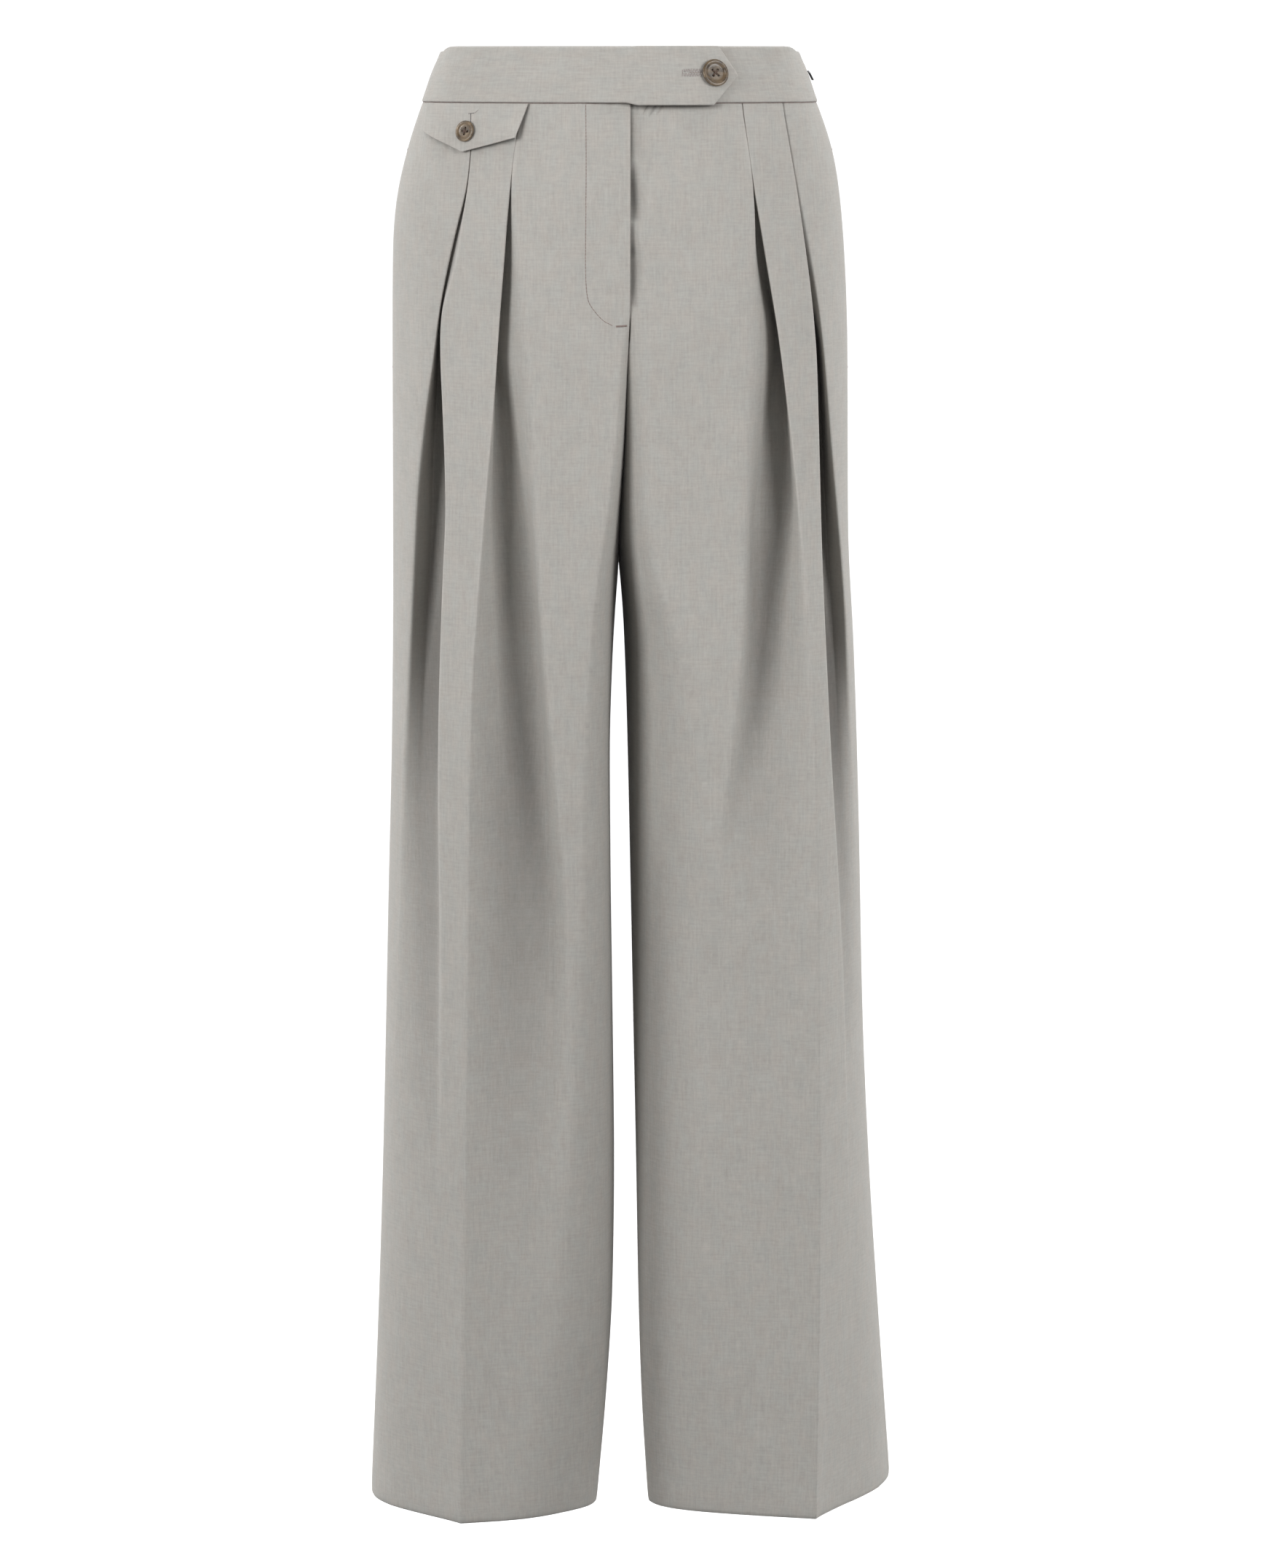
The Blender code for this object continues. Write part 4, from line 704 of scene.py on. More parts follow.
def rows_and_columns(verts, rows, columns):
    """The row, from the top, and the column of each vertex of a grid as it is first made."""
    where = np.array([vert.co[:2] for vert in verts])
    return (np.rint((1 - where[:, 1]) / 2 * (rows - 1)).astype(int),
            np.rint((where[:, 0] + 1) / 2 * (columns - 1)).astype(int))


def sheet_object(name, points, weave, tone, material):
    """A sheet laid through a grid of points, faces outward, with its weave as its map, given a wall."""
    rows, columns = points.shape[:2]
    bm = bmesh.new()
    bmesh.ops.create_grid(bm, x_segments=columns - 1, y_segments=rows - 1, size=1.0)
    i, j = rows_and_columns(bm.verts, rows, columns)
    for vert, place in zip(bm.verts, points[i, j]):
        vert.co = place
    mesh = mesh_of(name, bm, material)
    corner = np.zeros(len(mesh.loops), int)
    mesh.loops.foreach_get("vertex_index", corner)
    layer = mesh.uv_layers.new(name="weave")
    layer.data.foreach_set("uv", weave[i, j][corner].ravel())
    mesh.attributes.new("tone", "FLOAT", "POINT").data.foreach_set("value", tone[i, j].ravel())
    middle = mesh.polygons[len(mesh.polygons) // 2]
    if middle.normal.dot(Vector((middle.center.x * 0.5, middle.center.y, 0.0))) < 0:
        mesh.flip_normals()
    obj = linked(name, mesh)
    wall = obj.modifiers.new("Wall", "SOLIDIFY")
    wall.thickness = SHEET_THICK
    wall.offset = 0.0
    return obj


def soft_line(points, top_x, top_z, foot_x, foot_z, width, fade):
    """How near each point lies to a line on the cloth, from 1 on it to 0, fading at the line's ends.

    x is counted outward from the middle.
    """
    x, z = np.abs(points[..., 0]), points[..., 2]
    run = np.array([foot_x - top_x, foot_z - top_z])
    length = np.linalg.norm(run)
    run /= length
    share = ((x - top_x) * run[0] + (z - top_z) * run[1]) / length
    off = (x - top_x) * run[1] - (z - top_z) * run[0]
    swell = np.sin(math.pi * np.clip(share, 0.0, 1.0)) ** fade
    return np.exp(-(off / width) ** 2) * swell * ((share > 0) & (share < 1))


def soft_folds(points, folds, inward):
    """Presses listed soft creases into a grid of points: troughs inward, ridges outward.

    Each fold is x, z of its top, x, z of its foot, its width and its depth, a ridge's negative.
    """
    for *line, depth in folds:
        points += (depth * soft_line(points, *line, 0.8))[..., None] * inward
    return points


def soft_shades(points, shades):
    """How much painted shade the cloth gets close under a neighbour's edge, along given lines."""
    return sum(strength * soft_line(points, *line, 0.35) for *line, strength in shades)


def laid_panel(side, spacing, panel_path, facing):
    """A panel's grid of places, its directions inward, its weave's map and its tone of painted highlight
    and painted shade, row by row.
    """
    spun = np.array([OUTWARD[side], facing])
    grid, inward, weave, tone = [], [], [], []
    for z, inset in levels(side, spacing):
        curve, across, paler = panel_path(side, z)
        plan = curve.place(across[:, 0], across[:, 1] + inset, across[:, 3])
        deeper = curve.place(across[:, 0], across[:, 1] + inset + 0.001, across[:, 3])
        level = np.full((len(plan), 1), z)
        grid.append(np.hstack([plan * spun, level]))
        inward.append(np.hstack([(deeper - plan) / 0.001 * spun, 0 * level]))
        laid = across[:, 2] - curve.where_x(WEAVE_LINE)
        weave.append(np.stack([laid, np.full(len(laid), z)], axis=-1))
        tone.append(paler)
    return np.array(grid), np.array(inward), np.array(weave), np.array(tone)


# ------------------------------------------------------------------ the cloth itself
CLOTH_LIGHT = (0.452, 0.437, 0.409, 1.0)
CLOTH_DARK = (0.318, 0.305, 0.284, 1.0)
COOL_TINT, WARM_TINT = (0.985, 1.0, 1.005, 1.0), (1.015, 0.995, 0.985, 1.0)
# Painted highlight on pressed edges: its paler colour, and the most of it that is mixed in
EDGE_HIGHLIGHT, EDGE_HIGHLIGHT_SHARE = (0.60, 0.555, 0.515, 1.0), 0.18
# Painted shade: the colour the cloth is multiplied by where its tone is below 0
DEEP_SHADE = (0.30, 0.29, 0.285, 1.0)
YARN = 0.00052  # one yarn of the plain weave


def streaks(tree, vector, across, along, seed):
    """A noise drawn out along one direction: the light and dark slubs of melange yarn."""
    mapping = node(tree, "ShaderNodeMapping", {"Vector": vector, "Scale": (1 / across, 1 / along, 1.0),
                                               "Location": (seed, seed * 0.7, seed * 0.3)})
    noise = node(tree, "ShaderNodeTexNoise", {"Vector": mapping.outputs["Vector"], "Scale": 1.0,
                                              "Detail": 2.0, "Roughness": 0.6}, noise_dimensions="2D")
    return noise.outputs["Fac"]


def sum_of(tree, *parts):
    """The sum of several outputs, each times its weight."""
    terms = [worked(tree, "MULTIPLY", output, weight) for output, weight in parts]
    total = terms[0]
    for term in terms[1:]:
        total = worked(tree, "ADD", total, term)
    return total


def stretched(tree, value, low, high):
    """A value stretched so that low becomes 0 and high becomes 1."""
    return node(tree, "ShaderNodeMapRange", {"Value": value, "From Min": low, "From Max": high}).outputs[0]


def mixed(tree, share, first, second, blend="MIX"):
    """A share of the second colour mixed into the first. A colour mix's sockets are 0, 6, 7 and 2."""
    mix = node(tree, "ShaderNodeMix", {0: share, 6: first, 7: second}, data_type="RGBA", blend_type=blend)
    return mix.outputs[2]


def raise_by(tree, shader, height, strength, depth):
    """Gives a finish its fine relief."""
    bump = node(tree, "ShaderNodeBump", {"Height": height, "Strength": strength, "Distance": depth})
    tree.links.new(bump.outputs["Normal"], shader.inputs["Normal"])


def yarns(tree, vector):
    """The plain weave: rounded yarns that cross over and under, as a height from 0 to 1."""
    split = node(tree, "ShaderNodeSeparateXYZ", {0: vector})
    waves = [worked(tree, "SINE", worked(tree, "MULTIPLY", split.outputs[axis], math.pi / YARN))
             for axis in (0, 1)]
    return worked(tree, "ABSOLUTE", worked(tree, "MULTIPLY", *waves))


def melange_cloth(name):
    """Light warm grey plain weave of melange yarn, matt with a faint bloom at the edges.

    Where the cloth's tone is above 0 it gets a painted highlight, as on a pressed edge, and where it is
    below 0 a painted shade.
    """
    cloth, tree, shader = finish(name, {"Roughness": 0.92, "Specular IOR Level": 0.22,
                                        "Sheen Weight": 0.10, "Sheen Roughness": 0.5})
    laid = node(tree, "ShaderNodeUVMap", uv_map="weave").outputs["UV"]
    warp = streaks(tree, laid, 0.0016, 0.024, 3.1)
    fine_warp = streaks(tree, laid, 0.0011, 0.006, 8.3)
    weft = streaks(tree, laid, 0.020, 0.0016, 5.7)
    fine_weft = streaks(tree, laid, 0.005, 0.0011, 1.9)
    clouds = streaks(tree, laid, 0.024, 0.036, 7.7)
    patches = streaks(tree, laid, 0.007, 0.010, 2.3)
    weave = yarns(tree, laid)
    slubs = sum_of(tree, (warp, 0.55), (fine_warp, 0.50), (weft, 0.45), (fine_weft, 0.42), (clouds, 0.26),
                   (patches, 0.20), (weave, 0.05))
    wool = mixed(tree, stretched(tree, slubs, 0.72, 1.80), CLOTH_DARK, CLOTH_LIGHT)
    warmth = stretched(tree, streaks(tree, laid, 0.009, 0.016, 6.1), 0.30, 0.70)
    tinted = mixed(tree, 1.0, wool, mixed(tree, warmth, COOL_TINT, WARM_TINT), "MULTIPLY")
    tone = node(tree, "ShaderNodeAttribute", attribute_name="tone").outputs["Fac"]
    # the tone above 0 mixes in the painted edge highlight, below 0 the painted shade
    pressed = worked(tree, "MULTIPLY", tone, EDGE_HIGHLIGHT_SHARE, clamp=True)
    shaded = worked(tree, "MULTIPLY", tone, -1.0, clamp=True)
    paler = mixed(tree, pressed, tinted, EDGE_HIGHLIGHT)
    darker = mixed(tree, shaded, paler, DEEP_SHADE, "MULTIPLY")
    tree.links.new(darker, shader.inputs["Base Color"])
    height = sum_of(tree, (weave, 0.5), (fine_warp, 0.5), (fine_weft, 0.5))
    raise_by(tree, shader, height, 0.22, 0.00020)
    return cloth


# Soft creases: x, z of the top, x, z of the foot, width, depth
FRONT_FOLDS = {
    RIGHT: (
        (0.030, -0.200, 0.046, -0.420, 0.020, 0.0011), (0.058, -0.470, 0.064, -0.900, 0.017, 0.0016),
        (0.036, -0.560, 0.040, -0.980, 0.012, -0.0010), (0.150, -0.420, 0.156, -0.760, 0.009, 0.0013),
        (0.090, -0.780, 0.094, -1.050, 0.012, 0.0009), (0.140, -0.700, 0.146, -1.030, 0.008, -0.0008),
        (0.154, -0.080, 0.158, -0.330, 0.007, 0.0008),
    ),
    LEFT: (
        (0.040, -0.190, 0.058, -0.400, 0.022, 0.0010), (0.076, -0.560, 0.080, -0.960, 0.018, 0.0014),
        (0.052, -0.620, 0.058, -1.000, 0.012, -0.0009), (0.110, -0.640, 0.112, -1.020, 0.014, 0.0010),
        (0.0070, -0.0222, 0.0720, -0.0222, 0.0030, 0.0026),
        (0.0265, -0.0215, 0.0215, -0.0290, 0.0012, 0.0013),
        (0.0208, -0.0215, 0.0170, -0.0275, 0.0011, 0.0010),
        (0.0312, -0.0215, 0.0270, -0.0280, 0.0011, 0.0009),
        (0.0145, -0.0215, 0.0120, -0.0300, 0.0013, 0.0009), (0.030, -0.050, 0.020, -0.110, 0.010, 0.0007),
        (0.163, -0.460, 0.172, -0.800, 0.008, 0.0010),
    ),
}
# Painted soft shadows under the flap's edges and under the fly's and the tab's edges: x, z of the top,
# x, z of the foot, width, strength
FRONT_SHADES = {
    RIGHT: (
        (0.0655, -0.0210, 0.0716, -0.0445, 0.0016, 0.50), (0.0730, -0.0462, 0.1120, -0.0566, 0.0011, 0.30),
        (0.1128, -0.0570, 0.1430, -0.0420, 0.0013, 0.50),
    ),
    LEFT: (
        (0.0060, -0.0222, 0.0740, -0.0222, 0.0018, 0.85), (0.0265, -0.0215, 0.0215, -0.0290, 0.0008, 0.50),
        (0.0208, -0.0215, 0.0170, -0.0275, 0.0007, 0.45), (0.0312, -0.0215, 0.0270, -0.0280, 0.0007, 0.34),
        (0.0078, -0.0210, 0.0084, -0.0640, 0.0010, 0.50), (0.0100, -0.0260, 0.0110, -0.0600, 0.0060, 0.22),
        (0.0088, -0.0640, 0.0112, -0.1040, 0.0034, 0.95), (0.0086, -0.1070, 0.0098, -0.1290, 0.0020, 0.50),
        (0.0092, -0.1200, 0.0106, -0.1660, 0.0026, 0.75), (0.0450, -0.0300, 0.0620, -0.0420, 0.0100, 0.06),
    ),
}
front_cloth = melange_cloth("front_cloth")
fronts = {}
for side in (RIGHT, LEFT):
    grid, inward, weave, tone = laid_panel(side, FRONT_SPACING, front_path, -1.0)
    edge_at = len(TURNED_EDGE) + TO_SHOULDER + TO_PLEAT + sum(PLEAT_CORNERS) + 5 * BETWEEN_CORNERS
    outer_at = edge_at + ON_STRIP
    grid = evened(grid, 5, ((edge_at - 20, edge_at + 2), (outer_at - 2, outer_at + 54)))
    grid = soft_folds(grid, FRONT_FOLDS[side], inward)
    # painted shadows under the flap's, fly's and tab's edges darken the tone
    tone = tone - soft_shades(grid, FRONT_SHADES[side])
    front = sheet_object(f"front_{side}_cloth", grid, weave, tone, front_cloth)
    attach(front, "root")
    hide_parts(f"front_{side}")
    fronts[side] = front

# ---------------------------------------------------------------------------------------- back panels
# Two plain backs, joined down the middle of the seat and to the fronts at the side seams and inseams.
# Each has one dart at the waist and a crease pressed in below the seat.
BACK_SEAT = (  # both backs are alike above the fork; columns as for a front
    (0.020, 0.0890, 0.020, 0.0890, 2, 0.0700, 0.0750, 24, 24),
    (-0.020, 0.0950, 0.020, 0.0950, 2, 0.0740, 0.0825, 24, 24),
    (-0.080, 0.1180, 0.020, 0.1180, 1, 0.0800, 0.1060, 24, 24),
    (-0.140, 0.1330, 0.024, 0.1345, 1, 0.0860, 0.1220, 24, 24),
    (-0.190, 0.1330, 0.034, 0.1395, 1, 0.0900, 0.1285, 24, 24),
    (-0.240, 0.1180, 0.042, 0.1375, 0, 0.0930, 0.1280, 20, 26),
    (-0.290, 0.0900, 0.046, 0.1305, -1, 0.0950, 0.1245, 14, 30),
    (-0.335, 0.0500, 0.046, 0.1235, -3, 0.0960, 0.1210, 8, 33),
    (FORK, 0.0020, 0.046, 0.1195, -5, 0.0965, 0.1190, 4, 35),
)
BACK = {
    RIGHT: table(
        PANEL_COLUMNS, *BACK_SEAT,
        (-0.418, 0.0020, 0.046, 0.1125, -8, 0.0970, 0.1155, -1, 34),
        (-0.498, -0.0040, 0.046, 0.1055, -11, 0.0980, 0.1115, -3, 34),
        (-0.650, -0.0160, 0.046, 0.0955, -16, 0.0990, 0.1065, -6, 34),
        (-0.850, -0.0280, 0.048, 0.0875, -20, 0.1010, 0.1010, -9, 35),
        (HEM, -0.0380, 0.048, 0.0790, -24, 0.1030, 0.0945, -11, 36),
    ),
    LEFT: table(
        PANEL_COLUMNS, *BACK_SEAT,
        (-0.418, 0.0000, 0.046, 0.1130, -8, 0.0980, 0.1160, 0, 34),
        (-0.525, -0.0120, 0.048, 0.1045, -13, 0.1010, 0.1115, -4, 33),
        (-0.650, -0.0240, 0.050, 0.0965, -18, 0.1040, 0.1080, -8, 32),
        (-0.850, -0.0400, 0.056, 0.0900, -22, 0.1090, 0.1035, -12, 31),
        (HEM, -0.0500, 0.062, 0.0830, -26, 0.1150, 0.0995, -15, 30),
    ),
}
BACK_SPACING = table("z step", (0.0, 0.0040), (-0.12, 0.0048), (-0.40, 0.0056), (-0.60, 0.0078),
                     (HEM, 0.0085))
BACK_WALL, BACK_INNER, BACK_OUTER, CLUSTER = 34, 26, 44, 11
DART_AT, DART_LENGTH, DART_WIDTH, DART_DEPTH = 0.068, 0.095, 0.0011, 0.0011


def back_curve(side, z):
    """The back's level curve, with what it takes in front of the silhouettes at its two seams."""
    around = [arcs * np.array([1.0, -1.0]) for arcs in half_section(side, z, FRONT[side])]
    to_shoulder, to_crease, to_side = half_section(side, z, BACK[side])
    inner, outer = Curve(around[0]), Curve(around[2])
    points = [to_shoulder, to_crease, to_side]
    inseam = smooth(INSEAM_SHARE, "share", z) * inner.length if z < FORK else 0.0
    beside = smooth(SIDE_SHARE[side], "share", z) * outer.length
    shares = np.linspace(1.0, 0.0, 12)
    if inseam > 0:
        points.insert(0, inner.at(shares * inseam))
    if beside > 0:
        points.append(outer.at(outer.length - (1 - shares) * beside))
    whole = Curve(np.vstack(points))
    to_first = inseam + Curve(to_shoulder).length
    return whole, SEAM_GAP, to_first, to_first + Curve(to_crease).length, whole.length - SEAM_GAP


def back_path(side, z):
    """A back's row, as a front's, with close points over the dart and the pressed crease."""
    curve, start, shoulder, crease, end = back_curve(side, z)
    dart = shoulder + (crease - shoulder) * 0.62
    if z > FORK:
        by_x = curve.where_x(DART_AT, shoulder)
        dart = dart + (by_x - dart) * float(ease((z - FORK) / 0.16))
    spans = ((start + 0.0012, shoulder, BACK_WALL), (shoulder, dart - 0.0030, BACK_INNER),
             (dart - 0.0030, dart + 0.0030, CLUSTER), (dart + 0.0030, crease - 0.0035, BACK_INNER // 2),
             (crease - 0.0035, crease + 0.0035, CLUSTER))
    path = [point for span in spans for point in flat_run(*span)]
    path += flat_run(crease + 0.0035, end - 0.0012, BACK_OUTER)
    across = turned(start, end, path)
    fades = float(ease((z + DART_LENGTH + 0.02) / 0.05))
    across[:, 1] += DART_DEPTH * fades * np.exp(-((across[:, 0] - dart) / DART_WIDTH) ** 2)
    return curve, across, np.zeros(len(across))


BACK_FOLDS = {
    RIGHT: (
        (0.020, -0.300, 0.120, -0.350, 0.012, 0.0016), (0.028, -0.345, 0.110, -0.425, 0.014, 0.0020),
        (0.040, -0.395, 0.090, -0.560, 0.016, 0.0014), (0.140, -0.200, 0.120, -0.420, 0.016, 0.0013),
        (0.060, -0.560, 0.066, -0.980, 0.016, 0.0016), (0.128, -0.520, 0.136, -0.940, 0.014, 0.0014),
        (0.060, -0.600, 0.120, -0.622, 0.010, 0.0012), (0.050, -0.650, 0.118, -0.640, 0.009, 0.0009),
    ),
    LEFT: (
        (0.022, -0.310, 0.125, -0.345, 0.013, 0.0015), (0.030, -0.350, 0.120, -0.440, 0.014, 0.0018),
        (0.045, -0.410, 0.086, -0.590, 0.015, 0.0014), (0.146, -0.190, 0.124, -0.400, 0.015, 0.0014),
        (0.066, -0.590, 0.074, -1.010, 0.017, 0.0015), (0.140, -0.560, 0.150, -0.900, 0.014, 0.0014),
        (0.070, -0.610, 0.130, -0.628, 0.010, 0.0011), (0.060, -0.655, 0.126, -0.662, 0.009, 0.0009),
    ),
}
back_cloth = melange_cloth("back_cloth")
for side in (RIGHT, LEFT):
    grid, inward, weave, tone = laid_panel(side, BACK_SPACING, back_path, 1.0)
    grid = evened(grid, 3)
    grid = soft_folds(grid, BACK_FOLDS[side], inward)
    back = sheet_object(f"back_{side}_cloth", grid, weave, tone, back_cloth)
    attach(back, "root")
    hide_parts(f"back_{side}")

# ---------------------------------------------------------------------------------------- waistband
# A straight band of doubled cloth, 4 cm high. It starts under the fly on the left, goes round the back
# and laps over itself in front with a pointed tab. Its edges are turned in, so they are round.
BAND_TOP, BAND_BOTTOM = 0.020, -0.020
BAND_CLOTH = 0.0024  # its whole thickness
BAND_START = 0.006  # it starts this far left of the middle, under the tab
TAB_POINT_HEIGHT = 0.0003
TAB_ENDS = (0.0664, 0.0836, 0.0695)  # how far the tab reaches at its foot, its point and its top
TAB_RISE, TAB_RISE_FROM = 0.0036, 0.030  # how far and over what length it rises to lap over its start
TAB_PULL = 0.0004  # the tab's end swells this much over the button's shank
BAND_ROUND = 0.0011  # how far in from an edge the band has its full thickness
BAND_STEPS = 520


def ring(z):
    """The level curve all round the body: from the front middle by the left side, back and right side."""
    quarters = []
    for side, sizes, facing in ((LEFT, FRONT, -1), (LEFT, BACK, 1), (RIGHT, BACK, 1), (RIGHT, FRONT, -1)):
        arcs = np.vstack(half_section(side, z, sizes[side]))
        arcs[:, 0] -= arcs[0, 0] * np.linspace(1, 0, len(arcs)) ** 4
        arcs = arcs * np.array([OUTWARD[side], facing])
        quarters.append(arcs if len(quarters) % 2 == 0 else arcs[::-1])
    return Curve(np.vstack(quarters))


def rim_spacing(length, rim, count):
    """Distances from 0 to length, close together over the rounded rim at both ends."""
    turns = rim * (1 - np.cos(np.linspace(0, math.pi / 2, 6)))
    middle = np.linspace(rim, length - rim, count)
    return np.concatenate([turns[:-1], middle, length - turns[:-1][::-1]])


def rim_height(distance, rim):
    """Half thickness, as a share, at a distance from the edge: a quarter round over the rim."""
    t = np.clip(distance / rim, 0.0, 1.0)
    return np.sqrt(np.maximum(1 - (1 - t) ** 2, 0.0))


def two_faced(name, middle, outward, half, weave, tone, material):
    """A closed double cloth: a face on each side of a grid of points, joined where its half is zero."""
    rows, columns = half.shape
    bm = bmesh.new()
    faces = []
    for way in (1.0, -1.0):
        made = bmesh.ops.create_grid(bm, x_segments=columns - 1, y_segments=rows - 1, size=1.0)["verts"]
        i, j = rows_and_columns(made, rows, columns)
        places = middle[i, j] + way * half[i, j][:, None] * outward[i, j]
        for vert, place in zip(made, places):
            vert.co = place
        faces.append((i, j))
    woven = np.concatenate([weave[i, j] for i, j in faces])
    layer = bm.loops.layers.uv.new("weave")
    toned = bm.verts.layers.float.new("tone")
    for vert, value in zip(bm.verts, np.concatenate([tone[i, j] for i, j in faces])):
        vert[toned] = value
    bm.verts.index_update()
    for face in bm.faces:
        for loop in face.loops:
            loop[layer].uv = woven[loop.vert.index]
    bmesh.ops.remove_doubles(bm, verts=bm.verts, dist=2e-6)
    bmesh.ops.recalc_face_normals(bm, faces=bm.faces)
    return linked(name, mesh_of(name, bm, material))


TAB_LIES_LOWER, TAB_LIES_HIGHER = 0.0018, 0.0006  # how far the tab's end passes the band's edges
TAB_FROM, TAB_FULL = 0.0040, 0.0140
PICKS = 17  # steps of the band's grid down its height
RING_AROUND = 0.735
SIDE_DIP, DIP_FROM, DIP_WIDTH = 0.0036, 0.1215, 0.0070  # its top edge dips over the hips
band_heights = BAND_TOP - rim_spacing(BAND_TOP - BAND_BOTTOM, BAND_ROUND, PICKS)
middle, outward, half, weave, tab_rim = [], [], [], [], []
for z in band_heights:
    curve = ring(z)
    start = curve.where_x(BAND_START)
    tab_x = float(np.interp(z, (BAND_BOTTOM, TAB_POINT_HEIGHT, BAND_TOP), TAB_ENDS))
    tab_end = curve.length + curve.where_x(tab_x)
    along = start + rim_spacing(tab_end - start, BAND_ROUND, BAND_STEPS)
    rise = TAB_RISE * ease((along - curve.length + TAB_RISE_FROM) / TAB_RISE_FROM)
    rise = rise + TAB_PULL * np.exp(-((along - tab_end + 0.012) / 0.010) ** 2)
    wrapped = np.mod(along, curve.length)
    centre, outer = curve.place(wrapped, rise), curve.place(wrapped, rise + 0.001)
    way = (outer - centre) / 0.001
    passed = ease((along - curve.length - TAB_FROM) / (TAB_FULL - TAB_FROM))
    spread = np.interp(z, (BAND_BOTTOM, BAND_TOP), (-TAB_LIES_LOWER, TAB_LIES_HIGHER))
    high = (z - BAND_BOTTOM) / (BAND_TOP - BAND_BOTTOM)
    side_dip = SIDE_DIP * high * np.clip((np.abs(centre[:, 0]) - DIP_FROM) / DIP_WIDTH, 0.0, 1.0) ** 2
    level = z + spread * passed - side_dip
    middle.append(np.stack([centre[:, 0], centre[:, 1], level], axis=-1))
    outward.append(np.stack([way[:, 0], way[:, 1], 0 * level], axis=-1))
    ends = np.minimum(along - start, tab_end - along)
    tab_rim.append(tab_end - along)
    edge = min(BAND_TOP - z, z - BAND_BOTTOM)
    half.append(BAND_CLOTH / 2 * rim_height(ends, BAND_ROUND) * rim_height(edge, BAND_ROUND))
    weave.append(np.stack([level, along / curve.length * RING_AROUND], axis=-1))
middle, outward, half, weave = (np.array(values) for values in (middle, outward, half, weave))
tab_rim = np.array(tab_rim)
band_cloth = melange_cloth("band_cloth")
# Painted highlight along the tab's pressed edge
tone = 0.8 * np.exp(-(tab_rim / 0.0009) ** 2)
waistband = two_faced("waistband_cloth", middle, outward, half, weave, tone, band_cloth)
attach(waistband, "root")
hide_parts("waistband")

# ---------------------------------------------------------------------------------------- pocket flap
# A double flap with a pointed corner. Its top is caught in the waist seam on the wearer's right, its
# other edges are turned in and pressed, and its foot stands a little off the pleats.
FLAP_CLOTH = 0.0016
FLAP_TOP = (0.0649, 0.1385)
FLAP_TOP_HEIGHT = PANEL_TOP - 0.0002
FLAP_FOOT = ((0.0729, -0.0450), (0.1123, -0.0555), (0.1405, -0.0414))
FLAP_LIFT = 0.0020
FLAP_STAND = 0.0010
# Where its foot lifts: x, z, how widely and how far
FLAP_CURL = ((0.0735, -0.0450, 0.013, 0.0026), (0.0700, -0.0330, 0.009, 0.0010),
             (0.0950, -0.0505, 0.014, 0.0009), (0.1300, -0.0465, 0.010, 0.0016))
FLAP_EDGE_LINE = 0.0016  # the turned-in edge shows as a line this far from the edge


def from_edge(x, z, corners):
    """Distance of points from a run of edges."""
    nearest = np.full(np.shape(x), 1.0)
    for (ax, az), (bx, bz) in zip(corners, corners[1:]):
        run = np.array([bx - ax, bz - az])
        t = np.clip(((x - ax) * run[0] + (z - az) * run[1]) / (run @ run), 0.0, 1.0)
        nearest = np.minimum(nearest, np.hypot(x - ax - t * run[0], z - az - t * run[1]))
    return nearest


def flap_place(x, z, out):
    """A point over the right front, moved out from it."""
    curve, _, shoulder, _ = front_curve(RIGHT, z)
    plan = curve.place(curve.where_x(x, shoulder), -out)
    return np.array([-plan[0], -plan[1], z])


def flap_out(x, z):
    """How far the flap's middle stands out from the front's."""
    down = (PANEL_TOP - z) / (PANEL_TOP - FLAP_FOOT[1][1])
    curl = sum(high * math.exp(-((x - cx) ** 2 + (z - cz) ** 2) / wide ** 2)
               for cx, cz, wide, high in FLAP_CURL)
    return FLAP_LIFT + FLAP_STAND * min(1.0, down) + curl * min(1.0, max(0.0, down * 1.4))


foot = np.array([np.interp(t, (0.0, 0.58, 1.0), [corner[0] for corner in FLAP_FOOT])
                 for t in rim_spacing(1.0, 0.016, 60)])
foot_z = np.interp(foot, [corner[0] for corner in FLAP_FOOT], [corner[1] for corner in FLAP_FOOT])
share = (foot - FLAP_FOOT[0][0]) / (FLAP_FOOT[-1][0] - FLAP_FOOT[0][0])
top = FLAP_TOP[0] * (1 - share) + FLAP_TOP[1] * share
outline = ((FLAP_TOP[0], FLAP_TOP_HEIGHT), *FLAP_FOOT, (FLAP_TOP[1], FLAP_TOP_HEIGHT))
middle, outward, half, weave, tone = [], [], [], [], []
for down in 1 - rim_spacing(1.0, 0.022, 36)[::-1]:
    xs = top * (1 - down) + foot * down
    zs = FLAP_TOP_HEIGHT * (1 - down) + foot_z * down
    centre = np.array([flap_place(x, z, flap_out(x, z)) for x, z in zip(xs, zs)])
    outer = np.array([flap_place(x, z, flap_out(x, z) + 0.001) for x, z in zip(xs, zs)])
    rim = from_edge(xs, zs, outline)
    hem_rim = from_edge(xs, zs, FLAP_FOOT[:2])
    groove = 1 - 0.5 * np.exp(-((hem_rim - FLAP_EDGE_LINE) / 0.0004) ** 2)
    middle.append(centre)
    outward.append((outer - centre) / 0.001)
    half.append(FLAP_CLOTH / 2 * rim_height(rim, 0.0008) * groove * (1.0 if down > 0 else 0.0))
    # painted highlight along the flap's pressed edges
    tone.append(0.9 * np.exp(-(rim / 0.0008) ** 2))
    weave.append(np.stack([xs, zs], axis=-1))
middle, outward, half, weave = (np.array(values) for values in (middle, outward, half, weave))
flap_cloth = melange_cloth("flap_cloth")
flap = two_faced("pocket_flap_cloth", middle, outward, half, weave, np.array(tone), flap_cloth)
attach(flap, "root")
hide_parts("pocket_flap")

# ---------------------------------------------------------------------------------------- horn buttons
# Two turned buttons of brown horn with a raised rim, a dished middle and four holes, sewn on with
# crossed brown thread: a larger one on the tab, a smaller one on the flap.
BUTTON_CLEAR = 0.0004
